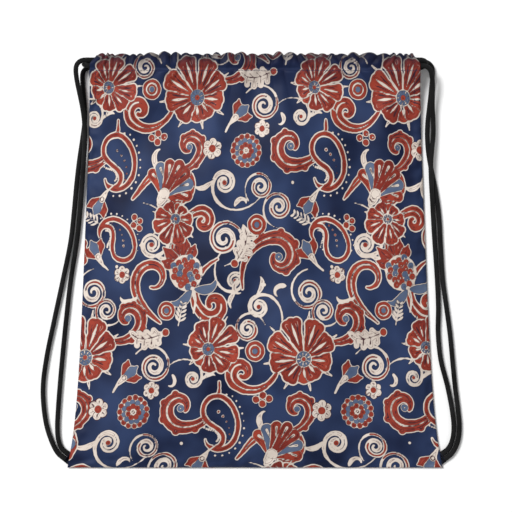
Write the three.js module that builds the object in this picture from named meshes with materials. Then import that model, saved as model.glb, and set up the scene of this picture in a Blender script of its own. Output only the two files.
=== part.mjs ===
// A drawstring bag of printed polyester, lying on its back with its mouth a little open.
//
// Two panels are sewn together along the bottom and up both sides. Above each side seam they part
// in a slit, and each panel ends in a casing, a flat channel that two drawcords run through. Both
// ends of a drawcord are sewn into one bottom corner. Its two strands go up that side, one enters
// the front casing and one the back casing, and they join in a loop at the far side of the mouth.
// Pulling a cord away from the bag therefore draws the far side of the mouth inwards.
//
// Millimetres. +X is to the right, +Y towards the mouth and +Z up, out of the front panel. The
// origin is under the middle of the bag, on the surface that it lies on.

import * as THREE from "three";

// Outline of the bag
const bottomHalfWidth = 190.5;
const mouthHalfWidth = 165.5;
const bagHeight = 419;
const cornerFlare = 9;
const cornerFlareReach = 50;

// Cloth and sewn allowances
const clothThickness = 0.8;
const meshGap = 0.3;
const allowanceThickness = 1.6;
const allowanceWidth = 8.2;
const edgeInset = 0.8;
const bottomAllowanceDepth = 8;
const cornerKeepOut = 12;

// How full the bag lies
const crownHeight = 28;
const bottomRiseLength = 130;
const bottomRisePower = 2.2;
const crownPower = 2.6;
const crownEndsAt = 270;
const edgePower = 4;

// Side slits and the lift of the edges towards them
const slitLength = 47;
const liftStartsAt = 300;
const liftPower = 2.6;
const backRiseLength = 35;

// Casings
const casingDepth = 19;
const casingHeight = 8;
const casingSquareness = 0.72;
const mouthGap = 6;

// Drawcords
const cordDiameter = 5;
const cordPitch = 6;
const cordsBelowMiddle = 0.8;
const cordSides = 8;
const loopBulge = 6.6;

// Sewn tacks at the bottom corners, where the cord ends go in
const tackLow = 5.5;
const tackHigh = 17.9;
const tackHeight = 4.8;
const tackFloorClearance = 0.3;
const cordEntryAngle = THREE.MathUtils.degToRad(38);
const cordEndClearance = 1.5;
const upperCordEnd = new THREE.Vector2(bottomHalfWidth + cordEndClearance, 15.8);
const cordEndPitch = 5.9;
const tackMargin = 2.7;
const tackFootWidth = 3.1;
const tackOuterBottom = bottomHalfWidth + tackFootWidth;

// Mesh fineness
const frontColumns = 20;
const backColumns = 14;
const cornerRows = 3;
const seamRows = 20;
const slitRows = 4;
const casingStations = 22;
const casingCorners = 16;
const strandSteps = 60;
const runSteps = 10;
const loopSteps = 12;

const casingBottom = bagHeight - casingDepth;
const casingMiddle = bagHeight - casingDepth / 2;
const panelTop = casingBottom - meshGap;
const slitBase = bagHeight - slitLength;
const seamBottom = tackHigh + cornerKeepOut / 2;
const backCasingZ = casingHeight / 2;
const frontCasingZ = casingHeight + mouthGap + casingHeight / 2;
const panelStack = clothThickness + allowanceThickness + 2 * meshGap;
const upperCordY = casingMiddle - cordsBelowMiddle + cordPitch / 2;
const lowerCordY = casingMiddle - cordsBelowMiddle - cordPitch / 2;

const clamp01 = (value) => Math.min(1, Math.max(0, value));
const smooth = (value) => {
  const t = clamp01(value);
  return t * t * (3 - 2 * t);
};

// Distances along the bag are measured up from the bottom edge, then centred.
const fromBottom = (y) => y - bagHeight / 2;

function halfWidth(y) {
  const taper = bottomHalfWidth - mouthHalfWidth - cornerFlare;
  const flare = cornerFlare * Math.exp(-y / cornerFlareReach);
  return mouthHalfWidth + taper * (1 - y / bagHeight) + flare;
}

// Under-side heights of the two panels

function seamLift(y) {
  const top = frontCasingZ - clothThickness / 2 - panelStack;
  const reach = clamp01((y - liftStartsAt) / (panelTop - liftStartsAt));
  return top * reach ** liftPower;
}

function frontUnderside(x, y) {
  const share = Math.min(1, Math.abs(x) / halfWidth(y));
  const edge = panelStack + seamLift(y);
  const rise = 1 - clamp01(1 - y / bottomRiseLength) ** bottomRisePower;
  const full = panelStack + (crownHeight - panelStack) * rise;
  const mouth = frontCasingZ - clothThickness / 2;
  const crown = full + (mouth - full) * smooth((y - crownEndsAt) / (panelTop - crownEndsAt));
  return edge + (crown - edge) * (1 - share ** crownPower);
}

function backUnderside(x, y) {
  const share = Math.min(1, Math.abs(x) / halfWidth(y));
  const topHeight = backCasingZ - clothThickness / 2;
  const middle = topHeight * smooth((y - panelTop + backRiseLength) / backRiseLength);
  const seamTop = seamLift(slitBase);
  const slitShare = smooth((y - slitBase) / (panelTop - slitBase));
  const edge = y < slitBase ? seamLift(y) : seamTop + (topHeight - seamTop) * slitShare;
  return middle + (edge - middle) * share ** edgePower;
}

// Closed bodies

function pointed(points) {
  const places = [];
  for (const point of points) places.push(point.x, point.y, point.z);
  return places;
}

function signedVolume(places, faces) {
  const corner = (i) => new THREE.Vector3(...places.slice(3 * i, 3 * i + 3));
  let volume = 0;
  for (let i = 0; i < faces.length; i += 3) {
    const [a, b, c] = [corner(faces[i]), corner(faces[i + 1]), corner(faces[i + 2])];
    volume += a.dot(b.cross(c)) / 6;
  }
  return volume;
}

function closedBody(places, faces) {
  if (signedVolume(places, faces) < 0) faces.reverse();
  const body = new THREE.BufferGeometry();
  body.setAttribute("position", new THREE.Float32BufferAttribute(places, 3));
  body.setIndex(faces);
  body.computeVertexNormals();
  return body;
}

function quad(faces, a, b, c, d) {
  faces.push(a, b, c, a, c, d);
}

// A solid through rings of equal length. A ring runs along one side and back along the other, so
// its ends close with a strip from side to side.
function solidLoft(rings) {
  const count = rings[0].length;
  const places = pointed(rings.flat());
  const faces = [];
  for (let ring = 0; ring + 1 < rings.length; ring++) {
    for (let i = 0; i < count; i++) {
      const next = (i + 1) % count;
      const here = ring * count;
      quad(faces, here + i, here + next, here + count + next, here + count + i);
    }
  }
  for (let i = 0; i + 1 < count / 2; i++) {
    const last = (rings.length - 1) * count;
    quad(faces, count - 1 - i, count - 2 - i, i + 1, i);
    quad(faces, last + i, last + i + 1, last + count - 2 - i, last + count - 1 - i);
  }
  return closedBody(places, faces);
}

// A tube with a wall, through an outer and an inner ring at each station.
function hollowLoft(outerRings, innerRings) {
  const count = outerRings[0].length;
  const stations = outerRings.length;
  const places = pointed([...outerRings.flat(), ...innerRings.flat()]);
  const faces = [];
  const outer = (station, i) => station * count + (i % count);
  const inner = (station, i) => (stations + station) * count + (i % count);
  for (let i = 0; i < count; i++) {
    for (let s = 0; s + 1 < stations; s++) {
      quad(faces, outer(s, i), outer(s, i + 1), outer(s + 1, i + 1), outer(s + 1, i));
      quad(faces, inner(s, i), inner(s + 1, i), inner(s + 1, i + 1), inner(s, i + 1));
    }
    quad(faces, outer(0, i), inner(0, i), inner(0, i + 1), outer(0, i + 1));
    const end = stations - 1;
    quad(faces, outer(end, i), outer(end, i + 1), inner(end, i + 1), inner(end, i));
  }
  return closedBody(places, faces);
}

function rowsBetween(low, high, count) {
  return Array.from({ length: count + 1 }, (_, row) => low + ((high - low) * row) / count);
}

// The side seams use the same rows as the panels, so that their facets lie alongside.
const seamHeights = rowsBetween(seamBottom, slitBase, seamRows);
const panelHeights = [
  ...rowsBetween(0, seamBottom, cornerRows).slice(0, -1),
  ...seamHeights,
  ...rowsBetween(slitBase, panelTop, slitRows).slice(1),
];

function panel(underside, columns) {
  const rings = [];
  for (const y of panelHeights) {
    const under = [];
    for (let column = 0; column <= columns; column++) {
      const x = halfWidth(y) * Math.sin((Math.PI / 2) * ((2 * column) / columns - 1));
      under.push(new THREE.Vector3(x, fromBottom(y), underside(x, y)));
    }
    const over = under.map((p) => new THREE.Vector3(p.x, p.y, p.z + clothThickness));
    rings.push([...under, ...over.reverse()]);
  }
  return solidLoft(rings);
}

// A casing is straight and level, so that the cords can slide in it as far as they are drawn.
function casing(height) {
  const ringAt = (x, inset) => {
    const ring = [];
    for (let i = 0; i < casingCorners; i++) {
      const angle = (2 * Math.PI * i) / casingCorners;
      const round = (value) => Math.sign(value) * Math.abs(value) ** casingSquareness;
      const y = casingMiddle + (casingDepth / 2 - inset) * round(Math.cos(angle));
      const z = height + (casingHeight / 2 - inset) * round(Math.sin(angle));
      ring.push(new THREE.Vector3(x, fromBottom(y), z));
    }
    return ring;
  };
  const outer = [];
  const inner = [];
  for (let station = 0; station <= casingStations; station++) {
    const x = mouthHalfWidth * ((2 * station) / casingStations - 1);
    outer.push(ringAt(x, 0));
    inner.push(ringAt(x, clothThickness));
  }
  return hollowLoft(outer, inner);
}

function sideSeam(side) {
  const rings = [];
  for (const y of seamHeights) {
    const outer = halfWidth(y) - edgeInset;
    const inner = outer - allowanceWidth;
    const corner = (x, lift) => {
      const z = backUnderside(x, y) + clothThickness + meshGap + lift;
      return new THREE.Vector3(side * x, fromBottom(y), z);
    };
    rings.push([
      corner(inner, 0),
      corner(outer, 0),
      corner(outer, allowanceThickness),
      corner(inner, allowanceThickness),
    ]);
  }
  return solidLoft(rings);
}

function bottomSeam() {
  const reach = bottomHalfWidth - cornerKeepOut;
  const shape = new THREE.Shape();
  const low = clothThickness + meshGap;
  shape.moveTo(-reach, fromBottom(edgeInset));
  shape.lineTo(reach, fromBottom(edgeInset));
  shape.lineTo(reach, fromBottom(edgeInset + bottomAllowanceDepth));
  shape.lineTo(-reach, fromBottom(edgeInset + bottomAllowanceDepth));
  const body = new THREE.ExtrudeGeometry(shape, { depth: allowanceThickness, bevelEnabled: false });
  return body.translate(0, 0, low);
}

// The cords come down to the corner at cordEntryAngle, so the tack's outer face is square to that.
function cornerTack(side) {
  const along = new THREE.Vector2(Math.sin(cordEntryAngle), -Math.cos(cordEntryAngle));
  const faceTop = upperCordEnd.clone().addScaledVector(along, -tackMargin);
  const faceEnd = upperCordEnd.clone().addScaledVector(along, cordEndPitch + tackMargin);
  const outline = [
    faceEnd,
    new THREE.Vector2(faceTop.x, tackHigh),
    new THREE.Vector2(halfWidth(tackHigh) + meshGap, tackHigh),
    new THREE.Vector2(halfWidth(tackLow) + meshGap, tackLow),
    new THREE.Vector2(tackOuterBottom, tackLow),
  ];
  const shape = new THREE.Shape(outline.map((p) => new THREE.Vector2(side * p.x, fromBottom(p.y))));
  const body = new THREE.ExtrudeGeometry(shape, { depth: tackHeight, bevelEnabled: false });
  return body.translate(0, 0, tackFloorClearance);
}

// Drawcords

function smoothPath(points) {
  const places = points.map(([x, y, z]) => new THREE.Vector3(x, fromBottom(y), z));
  return new THREE.CatmullRomCurve3(places, false, "centripetal");
}

function cordTube(path, steps) {
  const section = new THREE.Shape();
  for (let i = 0; i < cordSides; i++) {
    const angle = (2 * Math.PI * i) / cordSides;
    const x = (cordDiameter / 2) * Math.cos(angle);
    const y = (cordDiameter / 2) * Math.sin(angle);
    if (i === 0) section.moveTo(x, y);
    else section.lineTo(x, y);
  }
  return new THREE.ExtrudeGeometry(section, { steps, bevelEnabled: false, extrudePath: path });
}

// The stretch inside a casing
function runInCasing(y, z) {
  const ends = [-mouthHalfWidth, mouthHalfWidth].map((x) => {
    return new THREE.Vector3(x, fromBottom(y), z);
  });
  return cordTube(new THREE.LineCurve3(...ends), runSteps);
}

// The half turn outside the far end of the casings
class HalfTurn extends THREE.Curve {
  constructor(side, frontY, backY) {
    super();
    this.side = side;
    this.front = new THREE.Vector2(fromBottom(frontY), frontCasingZ);
    this.back = new THREE.Vector2(fromBottom(backY), backCasingZ);
  }

  getPoint(t) {
    const angle = Math.PI * t;
    const across = this.front.clone().lerp(this.back, (1 - Math.cos(angle)) / 2);
    const out = mouthHalfWidth + meshGap + loopBulge * Math.sin(angle);
    return new THREE.Vector3(this.side * out, across.x, across.y);
  }
}

// Free strands, from the casing's end to the corner tack. Y is measured up from the bottom edge.
const leftFrontRoute = [
  [-165.8, 411.7, 18.0], [-170.4, 411.7, 18.0], [-174.3, 411.0, 17.9], [-177.4, 409.0, 17.6],
  [-179.4, 405.9, 17.1], [-180.1, 402.0, 16.4], [-179.7, 395.0, 15.0], [-178.4, 386.5, 13.2],
  [-176.2, 375.5, 11.2], [-174.0, 363.5, 9.4], [-172.5, 350.0, 8.3], [-172.0, 333.0, 8.1],
  [-173.2, 312.0, 7.0], [-175.2, 288.0, 4.4], [-177.4, 262.0, 2.8], [-180.6, 231.0, 2.6],
  [-187.0, 190.0, 2.6], [-191.6, 150.0, 2.6], [-195.4, 112.0, 2.6], [-198.2, 80.0, 2.6],
  [-199.8, 58.0, 2.6], [-200.5, 42.0, 2.6], [-200.0, 31.0, 2.6], [-198.2, 23.6, 2.6],
  [-195.2, 18.3, 2.6], [-192.24, 15.98, 2.6],
];
const leftBackRoute = [
  [-165.8, 405.7, 4.0], [-167.5, 405.7, 4.0], [-170.3, 405.1, 3.9], [-172.7, 403.5, 3.7],
  [-174.3, 401.1, 3.4], [-175.0, 397.9, 3.1], [-174.9, 390.5, 2.7], [-173.9, 379.0, 2.6],
  [-172.9, 366.0, 2.6], [-173.0, 350.0, 2.6], [-175.1, 333.0, 2.6], [-178.2, 312.0, 2.6],
  [-181.0, 288.0, 2.6], [-183.4, 262.0, 2.6], [-186.8, 231.0, 2.6], [-195.0, 190.0, 2.6],
  [-203.6, 150.0, 2.6], [-211.4, 112.0, 2.6], [-215.0, 84.0, 2.6], [-214.4, 62.0, 2.6],
  [-211.4, 42.5, 2.6], [-207.2, 29.0, 2.6], [-203.0, 19.6, 2.6], [-198.9, 13.75, 2.6],
  [-195.87, 11.33, 2.6],
];
const rightFrontRoute = [
  [165.8, 405.7, 18.0], [169.0, 405.7, 18.0], [172.2, 405.0, 17.8], [174.9, 403.1, 17.4],
  [176.7, 400.3, 16.8], [177.6, 396.7, 16.1], [178.8, 388.0, 14.0], [179.0, 377.5, 11.6],
  [179.2, 366.0, 9.3], [180.2, 352.0, 7.2], [180.4, 338.0, 6.6], [179.0, 323.0, 7.4],
  [177.8, 309.0, 8.0], [178.2, 292.0, 7.4], [179.7, 270.0, 5.1], [181.1, 248.0, 3.1],
  [182.2, 231.0, 2.6], [184.9, 190.0, 2.6], [186.0, 163.0, 2.6], [185.8, 136.0, 2.6],
  [188.6, 109.0, 2.6], [195.4, 82.0, 2.6], [200.2, 57.0, 2.6], [201.7, 42.0, 2.6],
  [200.9, 31.0, 2.6], [198.5, 23.4, 2.6], [195.2, 18.3, 2.6], [192.24, 15.98, 2.6],
];
const rightBackRoute = [
  [165.8, 411.7, 4.0], [170.4, 411.7, 4.0], [174.3, 411.0, 3.9], [177.4, 409.0, 3.7],
  [179.4, 405.9, 3.4], [180.1, 402.0, 3.1], [179.9, 395.0, 2.7], [178.8, 382.5, 2.6],
  [177.2, 368.0, 2.6], [175.4, 352.0, 2.6], [174.8, 338.0, 2.6], [175.6, 323.0, 2.6],
  [178.0, 307.0, 2.6], [181.9, 288.0, 2.6], [185.4, 266.0, 2.6], [187.2, 247.0, 2.6],
  [188.0, 231.0, 2.6], [190.6, 190.0, 2.6], [194.2, 163.0, 2.6], [197.8, 136.0, 2.6],
  [200.4, 109.0, 2.6], [203.0, 82.0, 2.6], [206.2, 57.0, 2.6], [207.4, 42.0, 2.6],
  [206.6, 30.5, 2.6], [203.6, 20.8, 2.6], [198.9, 13.75, 2.6], [195.87, 11.33, 2.6],
];

// Colours and finish
const printedCloth = { color: 0x26345f, roughness: 0.62, metalness: 0 };
const seamThread = { color: 0x1a2448, roughness: 0.75, metalness: 0 };
const blackCord = { color: 0x1c1c1c, roughness: 0.8, metalness: 0 };

const bag = new THREE.Group();
bag.name = "drawstring_bag";

function add(name, geometry, finish) {
  const mesh = new THREE.Mesh(geometry, new THREE.MeshStandardMaterial(finish));
  mesh.name = name;
  bag.add(mesh);
}

add("front_panel", panel(frontUnderside, frontColumns), printedCloth);
add("back_panel", panel(backUnderside, backColumns), printedCloth);
add("front_casing", casing(frontCasingZ), printedCloth);
add("back_casing", casing(backCasingZ), printedCloth);
add("bottom_seam", bottomSeam(), seamThread);

const sides = [
  { name: "left", side: -1, frontY: upperCordY, backY: lowerCordY },
  { name: "right", side: 1, frontY: lowerCordY, backY: upperCordY },
];
const routes = {
  left: { front: leftFrontRoute, back: leftBackRoute },
  right: { front: rightFrontRoute, back: rightBackRoute },
};
for (const { name, side, frontY, backY } of sides) {
  add(`${name}_side_seam`, sideSeam(side), seamThread);
  add(`${name}_corner_tack`, cornerTack(side), seamThread);
  add(`${name}_cord_front_strand`, cordTube(smoothPath(routes[name].front), strandSteps), blackCord);
  add(`${name}_cord_front_run`, runInCasing(frontY, frontCasingZ), blackCord);
  add(`${name}_cord_loop`, cordTube(new HalfTurn(-side, frontY, backY), loopSteps), blackCord);
  add(`${name}_cord_back_run`, runInCasing(backY, backCasingZ), blackCord);
  add(`${name}_cord_back_strand`, cordTube(smoothPath(routes[name].back), strandSteps), blackCord);
}

export default bag;
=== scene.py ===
# %% [markdown]
# # A drawstring bag of printed polyester
#
# The bag is two sheets of printed cloth, sewn together and gathered on two black drawcords. It
# lies on its back with the mouth a little open. This lesson dresses the bare construction model:
# first the camera and the cords, then the cloth, its print, the stitching and the light.
#
# Sizes are in millimetres, as on a pattern sheet, and become metres only where Blender gets them.
# +X is to the right, Y is measured up from the bag's bottom edge, and +Z is up from the surface
# that the bag lies on.

# %% Load the construction model
import math

import bpy
import numpy as np
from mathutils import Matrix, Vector


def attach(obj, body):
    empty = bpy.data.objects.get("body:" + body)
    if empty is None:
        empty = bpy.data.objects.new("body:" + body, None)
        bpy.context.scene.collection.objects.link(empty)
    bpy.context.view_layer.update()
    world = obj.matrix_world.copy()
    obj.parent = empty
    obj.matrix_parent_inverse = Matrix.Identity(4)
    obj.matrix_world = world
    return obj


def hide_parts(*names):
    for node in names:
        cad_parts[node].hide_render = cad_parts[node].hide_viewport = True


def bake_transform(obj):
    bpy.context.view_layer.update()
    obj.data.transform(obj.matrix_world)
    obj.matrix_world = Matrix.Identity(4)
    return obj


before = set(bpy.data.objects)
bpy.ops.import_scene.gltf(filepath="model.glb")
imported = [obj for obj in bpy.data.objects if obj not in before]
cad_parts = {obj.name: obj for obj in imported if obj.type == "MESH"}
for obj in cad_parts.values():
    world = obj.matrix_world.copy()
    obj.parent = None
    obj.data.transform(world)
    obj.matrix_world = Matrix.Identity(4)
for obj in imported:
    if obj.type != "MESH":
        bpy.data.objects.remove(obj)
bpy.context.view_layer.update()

MM = 0.001

# %% The bag's own sizes
bottom_half_width = 190.5
mouth_half_width = 165.5
bag_height = 419
corner_flare = 9
corner_flare_reach = 50
seam_stack = 3.0
solid_cloth = 0.8
slit_base = 372
casing_bottom = 400
casing_middle = 409.5
back_casing_z = 4
front_casing_z = 18
crown_power = 2.6
upper_cord_y = 411.7
lower_cord_y = 405.7
cord_radius = 2.5
sides = {"left": -1, "right": 1}
print("bag:", 2 * bottom_half_width, "mm wide at the bottom,", 2 * mouth_half_width, "mm at the mouth")

# %% [markdown]
# ## Camera
#
# The photograph looks straight at the bag's front. The bag lies down here, so the camera hangs
# over it and looks straight down, with the mouth at the top of the picture. A long lens keeps the
# sides nearly parallel, as product photographs have them.

# %% Hang the camera over the bag
lens_mm = 100
sensor_mm = 36
view_width = 518.7
view_centre = (1.0, 5.3, 5.0)

camera_data = bpy.data.cameras.new("camera")
camera_data.lens = lens_mm
camera_data.sensor_width = sensor_mm
camera = bpy.data.objects.new("camera", camera_data)
camera_height = view_centre[2] + view_width * lens_mm / sensor_mm
camera.location = (view_centre[0] * MM, view_centre[1] * MM, camera_height * MM)
bpy.context.scene.collection.objects.link(camera)
bpy.context.scene.camera = camera
print("camera", round(camera_height), "mm above the floor")

# %% [markdown]
# ## Materials
#
# Colours are written as they look on a screen, in sRGB hex. Blender computes in linear light, so
# one function turns them over. Another adds a node to a tree. Each of its inputs is a plain value,
# or the socket of an earlier node that it is linked to.

# %% Colours, nodes and new materials
def linear(hex_colour):
    values = []
    for start in (0, 2, 4):
        share = int(hex_colour[start:start + 2], 16) / 255
        values.append(share / 12.92 if share <= 0.04045 else ((share + 0.055) / 1.055) ** 2.4)
    return (*values, 1.0)


def add_node(tree, kind, inputs=None, **settings):
    node = tree.nodes.new(kind)
    for name, value in settings.items():
        setattr(node, name, value)
    for socket, value in (inputs or {}).items():
        if isinstance(value, bpy.types.NodeSocket):
            tree.links.new(value, node.inputs[socket])
        else:
            node.inputs[socket].default_value = value
    return node


def new_material(name, finish):
    material = bpy.data.materials.new(name)
    material.use_nodes = True
    surface = material.node_tree.nodes["Principled BSDF"]
    for socket, value in finish.items():
        surface.inputs[socket].default_value = value
    print("material", name)
    return material, surface


print("808080 on a screen is", round(linear("808080")[0], 3), "in linear light")

# %% [markdown]
# ## Meshes
#
# Every piece of cloth and cord is a grid that a rule bends into place, so one function makes a
# mesh of points and faces. It turns millimetres above the bottom edge into metres around the
# bag's middle, where the frame has its origin. Another stores a value at each point of a mesh,
# for a shader to read by its name.

# %% Make a mesh from points in millimetres
def mesh_piece(name, points, faces, materials, face_materials=None, normals=None):
    places = np.array(points, float).reshape(-1, 3)
    places[:, 1] -= bag_height / 2
    mesh = bpy.data.meshes.new(name)
    mesh.from_pydata((places * MM).tolist(), [], faces)
    for material in materials:
        mesh.materials.append(material)
    if face_materials is not None:
        mesh.polygons.foreach_set("material_index", face_materials)
    mesh.shade_smooth()
    if normals is not None:
        mesh.normals_split_custom_set_from_vertices(normals)
    piece = bpy.data.objects.new(name, mesh)
    bpy.context.scene.collection.objects.link(piece)
    return piece


def store(piece, name, values):
    attribute = piece.data.attributes.new(name, "FLOAT", "POINT")
    attribute.data.foreach_set("value", np.asarray(values, np.float32).ravel())


# %% [markdown]
# ## Drawcords
#
# Each drawcord is round braided polyester, 5 mm thick and soft. Both its ends are sewn into one
# bottom corner. Its strands climb beside the bag, go through the two casings and join in a half
# turn at the far end of the mouth. Cord that lies loose follows no rule, so the points of the
# loose strands are listed one by one. They are the ones that the construction model follows, from
# the casing down to the corner.

# %% Routes of the loose strands
left_front_route = [
    (-165.8, 411.7, 18.0), (-170.4, 411.7, 18.0), (-174.3, 411.0, 17.9), (-177.4, 409.0, 17.6),
    (-179.4, 405.9, 17.1), (-180.1, 402.0, 16.4), (-179.7, 395.0, 15.0), (-178.4, 386.5, 13.2),
    (-176.2, 375.5, 11.2), (-174.0, 363.5, 9.4), (-172.5, 350.0, 8.3), (-172.0, 333.0, 8.1),
    (-173.2, 312.0, 7.0), (-175.2, 288.0, 4.4), (-177.4, 262.0, 2.8), (-180.6, 231.0, 2.6),
    (-187.0, 190.0, 2.6), (-191.6, 150.0, 2.6), (-195.4, 112.0, 2.6), (-198.2, 80.0, 2.6),
    (-199.8, 58.0, 2.6), (-200.5, 42.0, 2.6), (-200.0, 31.0, 2.6), (-198.2, 23.6, 2.6),
    (-195.2, 18.3, 2.6), (-192.24, 15.98, 2.6),
]
left_back_route = [
    (-165.8, 405.7, 4.0), (-167.5, 405.7, 4.0), (-170.3, 405.1, 3.9), (-172.7, 403.5, 3.7),
    (-174.3, 401.1, 3.4), (-175.0, 397.9, 3.1), (-174.9, 390.5, 2.7), (-173.9, 379.0, 2.6),
    (-172.9, 366.0, 2.6), (-173.0, 350.0, 2.6), (-175.1, 333.0, 2.6), (-178.2, 312.0, 2.6),
    (-181.0, 288.0, 2.6), (-183.4, 262.0, 2.6), (-186.8, 231.0, 2.6), (-195.0, 190.0, 2.6),
    (-203.6, 150.0, 2.6), (-211.4, 112.0, 2.6), (-215.0, 84.0, 2.6), (-214.4, 62.0, 2.6),
    (-211.4, 42.5, 2.6), (-207.2, 29.0, 2.6), (-203.0, 19.6, 2.6), (-198.9, 13.75, 2.6),
    (-195.87, 11.33, 2.6),
]
right_front_route = [
    (165.8, 405.7, 18.0), (169.0, 405.7, 18.0), (172.2, 405.0, 17.8), (174.9, 403.1, 17.4),
    (176.7, 400.3, 16.8), (177.6, 396.7, 16.1), (178.8, 388.0, 14.0), (179.0, 377.5, 11.6),
    (179.2, 366.0, 9.3), (180.2, 352.0, 7.2), (180.4, 338.0, 6.6), (179.0, 323.0, 7.4),
    (177.8, 309.0, 8.0), (178.2, 292.0, 7.4), (179.7, 270.0, 5.1), (181.1, 248.0, 3.1),
    (182.2, 231.0, 2.6), (184.9, 190.0, 2.6), (186.0, 163.0, 2.6), (185.8, 136.0, 2.6),
    (188.6, 109.0, 2.6), (195.4, 82.0, 2.6), (200.2, 57.0, 2.6), (201.7, 42.0, 2.6),
    (200.9, 31.0, 2.6), (198.5, 23.4, 2.6), (195.2, 18.3, 2.6), (192.24, 15.98, 2.6),
]
right_back_route = [
    (165.8, 411.7, 4.0), (170.4, 411.7, 4.0), (174.3, 411.0, 3.9), (177.4, 409.0, 3.7),
    (179.4, 405.9, 3.4), (180.1, 402.0, 3.1), (179.9, 395.0, 2.7), (178.8, 382.5, 2.6),
    (177.2, 368.0, 2.6), (175.4, 352.0, 2.6), (174.8, 338.0, 2.6), (175.6, 323.0, 2.6),
    (178.0, 307.0, 2.6), (181.9, 288.0, 2.6), (185.4, 266.0, 2.6), (187.2, 247.0, 2.6),
    (188.0, 231.0, 2.6), (190.6, 190.0, 2.6), (194.2, 163.0, 2.6), (197.8, 136.0, 2.6),
    (200.4, 109.0, 2.6), (203.0, 82.0, 2.6), (206.2, 57.0, 2.6), (207.4, 42.0, 2.6),
    (206.6, 30.5, 2.6), (203.6, 20.8, 2.6), (198.9, 13.75, 2.6), (195.87, 11.33, 2.6),
]
routes = {
    "left": {"front": left_front_route, "back": left_back_route},
    "right": {"front": right_front_route, "back": right_back_route},
}
print(sum(len(route) for pair in routes.values() for route in pair.values()), "points on four strands")

# %% [markdown]
# A cord bends smoothly, so its points are joined by a spline that passes through every one of
# them. It weighs how far apart neighbours are, so it makes no loops. A curve with automatic
# handles would pass through them too, but can swing out where they are unevenly spaced.

# %% Smooth routes
def between(a, b, low, high, t):
    """The point at t on a straight line that leads from a, at low, to b, at high."""
    return (a * (high - t) + b * (t - low)) / (high - low)


def distances_along(line):
    return np.concatenate([[0], np.cumsum(np.linalg.norm(np.diff(line, axis=0), axis=1))])


def length_of(line):
    return float(np.linalg.norm(np.diff(line, axis=0), axis=1).sum())


def smooth_route(points, spacing):
    p = np.array(points, float)
    p = np.vstack([2 * p[0] - p[1], p, 2 * p[-1] - p[-2]])
    pieces = []
    for p0, p1, p2, p3 in zip(p, p[1:], p[2:], p[3:]):
        spans = [np.linalg.norm(b - a) ** 0.5 for a, b in ((p0, p1), (p1, p2), (p2, p3))]
        k0, k1, k2, k3 = np.cumsum([0, *spans])
        steps = max(2, round(np.linalg.norm(p2 - p1) / spacing))
        t = np.linspace(k1, k2, steps, endpoint=False)[:, None]
        first = between(p0, p1, k0, k1, t)
        middle = between(p1, p2, k1, k2, t)
        last = between(p2, p3, k2, k3, t)
        near = between(first, middle, k0, k2, t)
        beyond = between(middle, last, k1, k3, t)
        pieces.append(between(near, beyond, k1, k2, t))
    line = np.vstack([*pieces, p[-2]])
    run = distances_along(line)
    even = np.linspace(0, run[-1], round(run[-1] / spacing) + 1)
    return np.column_stack([np.interp(even, run, line[:, axis]) for axis in range(3)])


print("left front strand:", round(length_of(smooth_route(left_front_route, 1.0)), 1), "mm")

# %% [markdown]
# The braid has eight yarns each way round. Where two cross, the upper one stands up as a small
# diamond. A curve with a bevel would be a smooth pipe, so the tube is built ring by ring, with a
# radius that rises and falls in a diamond lattice. It carries its section along the curve without
# twisting it, so that the braid stays regular.

# %% Braided tube
cord_step = 0.7
yarns_each_way = 8
diamond_length = 2.6
diamond_power = 0.6
braid_relief = 0.17
corners_round = 32


def carried_frames(line):
    """Two directions across the line at each of its points, carried along it without a twist."""
    ahead = np.gradient(line, axis=0)
    ahead /= np.linalg.norm(ahead, axis=1)[:, None]
    across = np.cross(ahead[0], (0.0, 0.0, 1.0))
    sideways = []
    for direction in ahead:
        across = across - direction * (across @ direction)
        across /= np.linalg.norm(across)
        sideways.append(across)
    sideways = np.array(sideways)
    return sideways, np.cross(ahead, sideways)


def tube_faces(rings, count):
    """Walls between rings of points, and a fan at each end round its middle point."""
    row, corner = np.meshgrid(np.arange(rings - 1), np.arange(count), indexing="ij")
    here = row * count + corner
    beside = row * count + (corner + 1) % count
    faces = np.stack([here, beside, beside + count, here + count], -1).reshape(-1, 4).tolist()
    last = (rings - 1) * count
    for i in range(count):
        after = (i + 1) % count
        faces.append([rings * count, after, i])
        faces.append([rings * count + 1, last + i, last + after])
    return faces


def braided_tube(name, line, material, flatten=(1.0, 1.0)):
    sideways, upwards = carried_frames(line)
    wide, tall = (np.broadcast_to(share, len(line))[:, None] for share in flatten)
    angle = np.linspace(0, 2 * math.pi, corners_round, endpoint=False)
    along = np.arange(len(line))[:, None] * cord_step
    turn = yarns_each_way * angle[None, :] / 2
    travel = math.pi * along / diamond_length
    lattice = np.abs(np.cos(turn + travel) * np.cos(turn - travel)) ** diamond_power
    radius = cord_radius - braid_relief + braid_relief * lattice
    points = (
        line[:, None, :]
        + sideways[:, None, :] * (radius * np.cos(angle) * wide)[..., None]
        + upwards[:, None, :] * (radius * np.sin(angle) * tall)[..., None]
    )
    points = np.vstack([points.reshape(-1, 3), line[0], line[-1]])
    return mesh_piece(name, points, tube_faces(len(line), corners_round), [material])


print("diamonds along 10 mm of braid:", round(10 / diamond_length, 1))

# %% [markdown]
# Braided polyester cord looks matt and nearly black, with a faint grey bloom where the yarns turn
# up to the light. Its filaments are some hundredths of a millimetre thick, too fine to show, so a
# noise of 0.7 mm stands in for them and breaks up what would look like plastic.

# %% Braided polyester cord
filament_mm = 5 / 7
filament_contrast = 0.6
filament_relief = 0.12
worn_patch_mm = 200 / 9
darkest_at = 0.55

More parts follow.
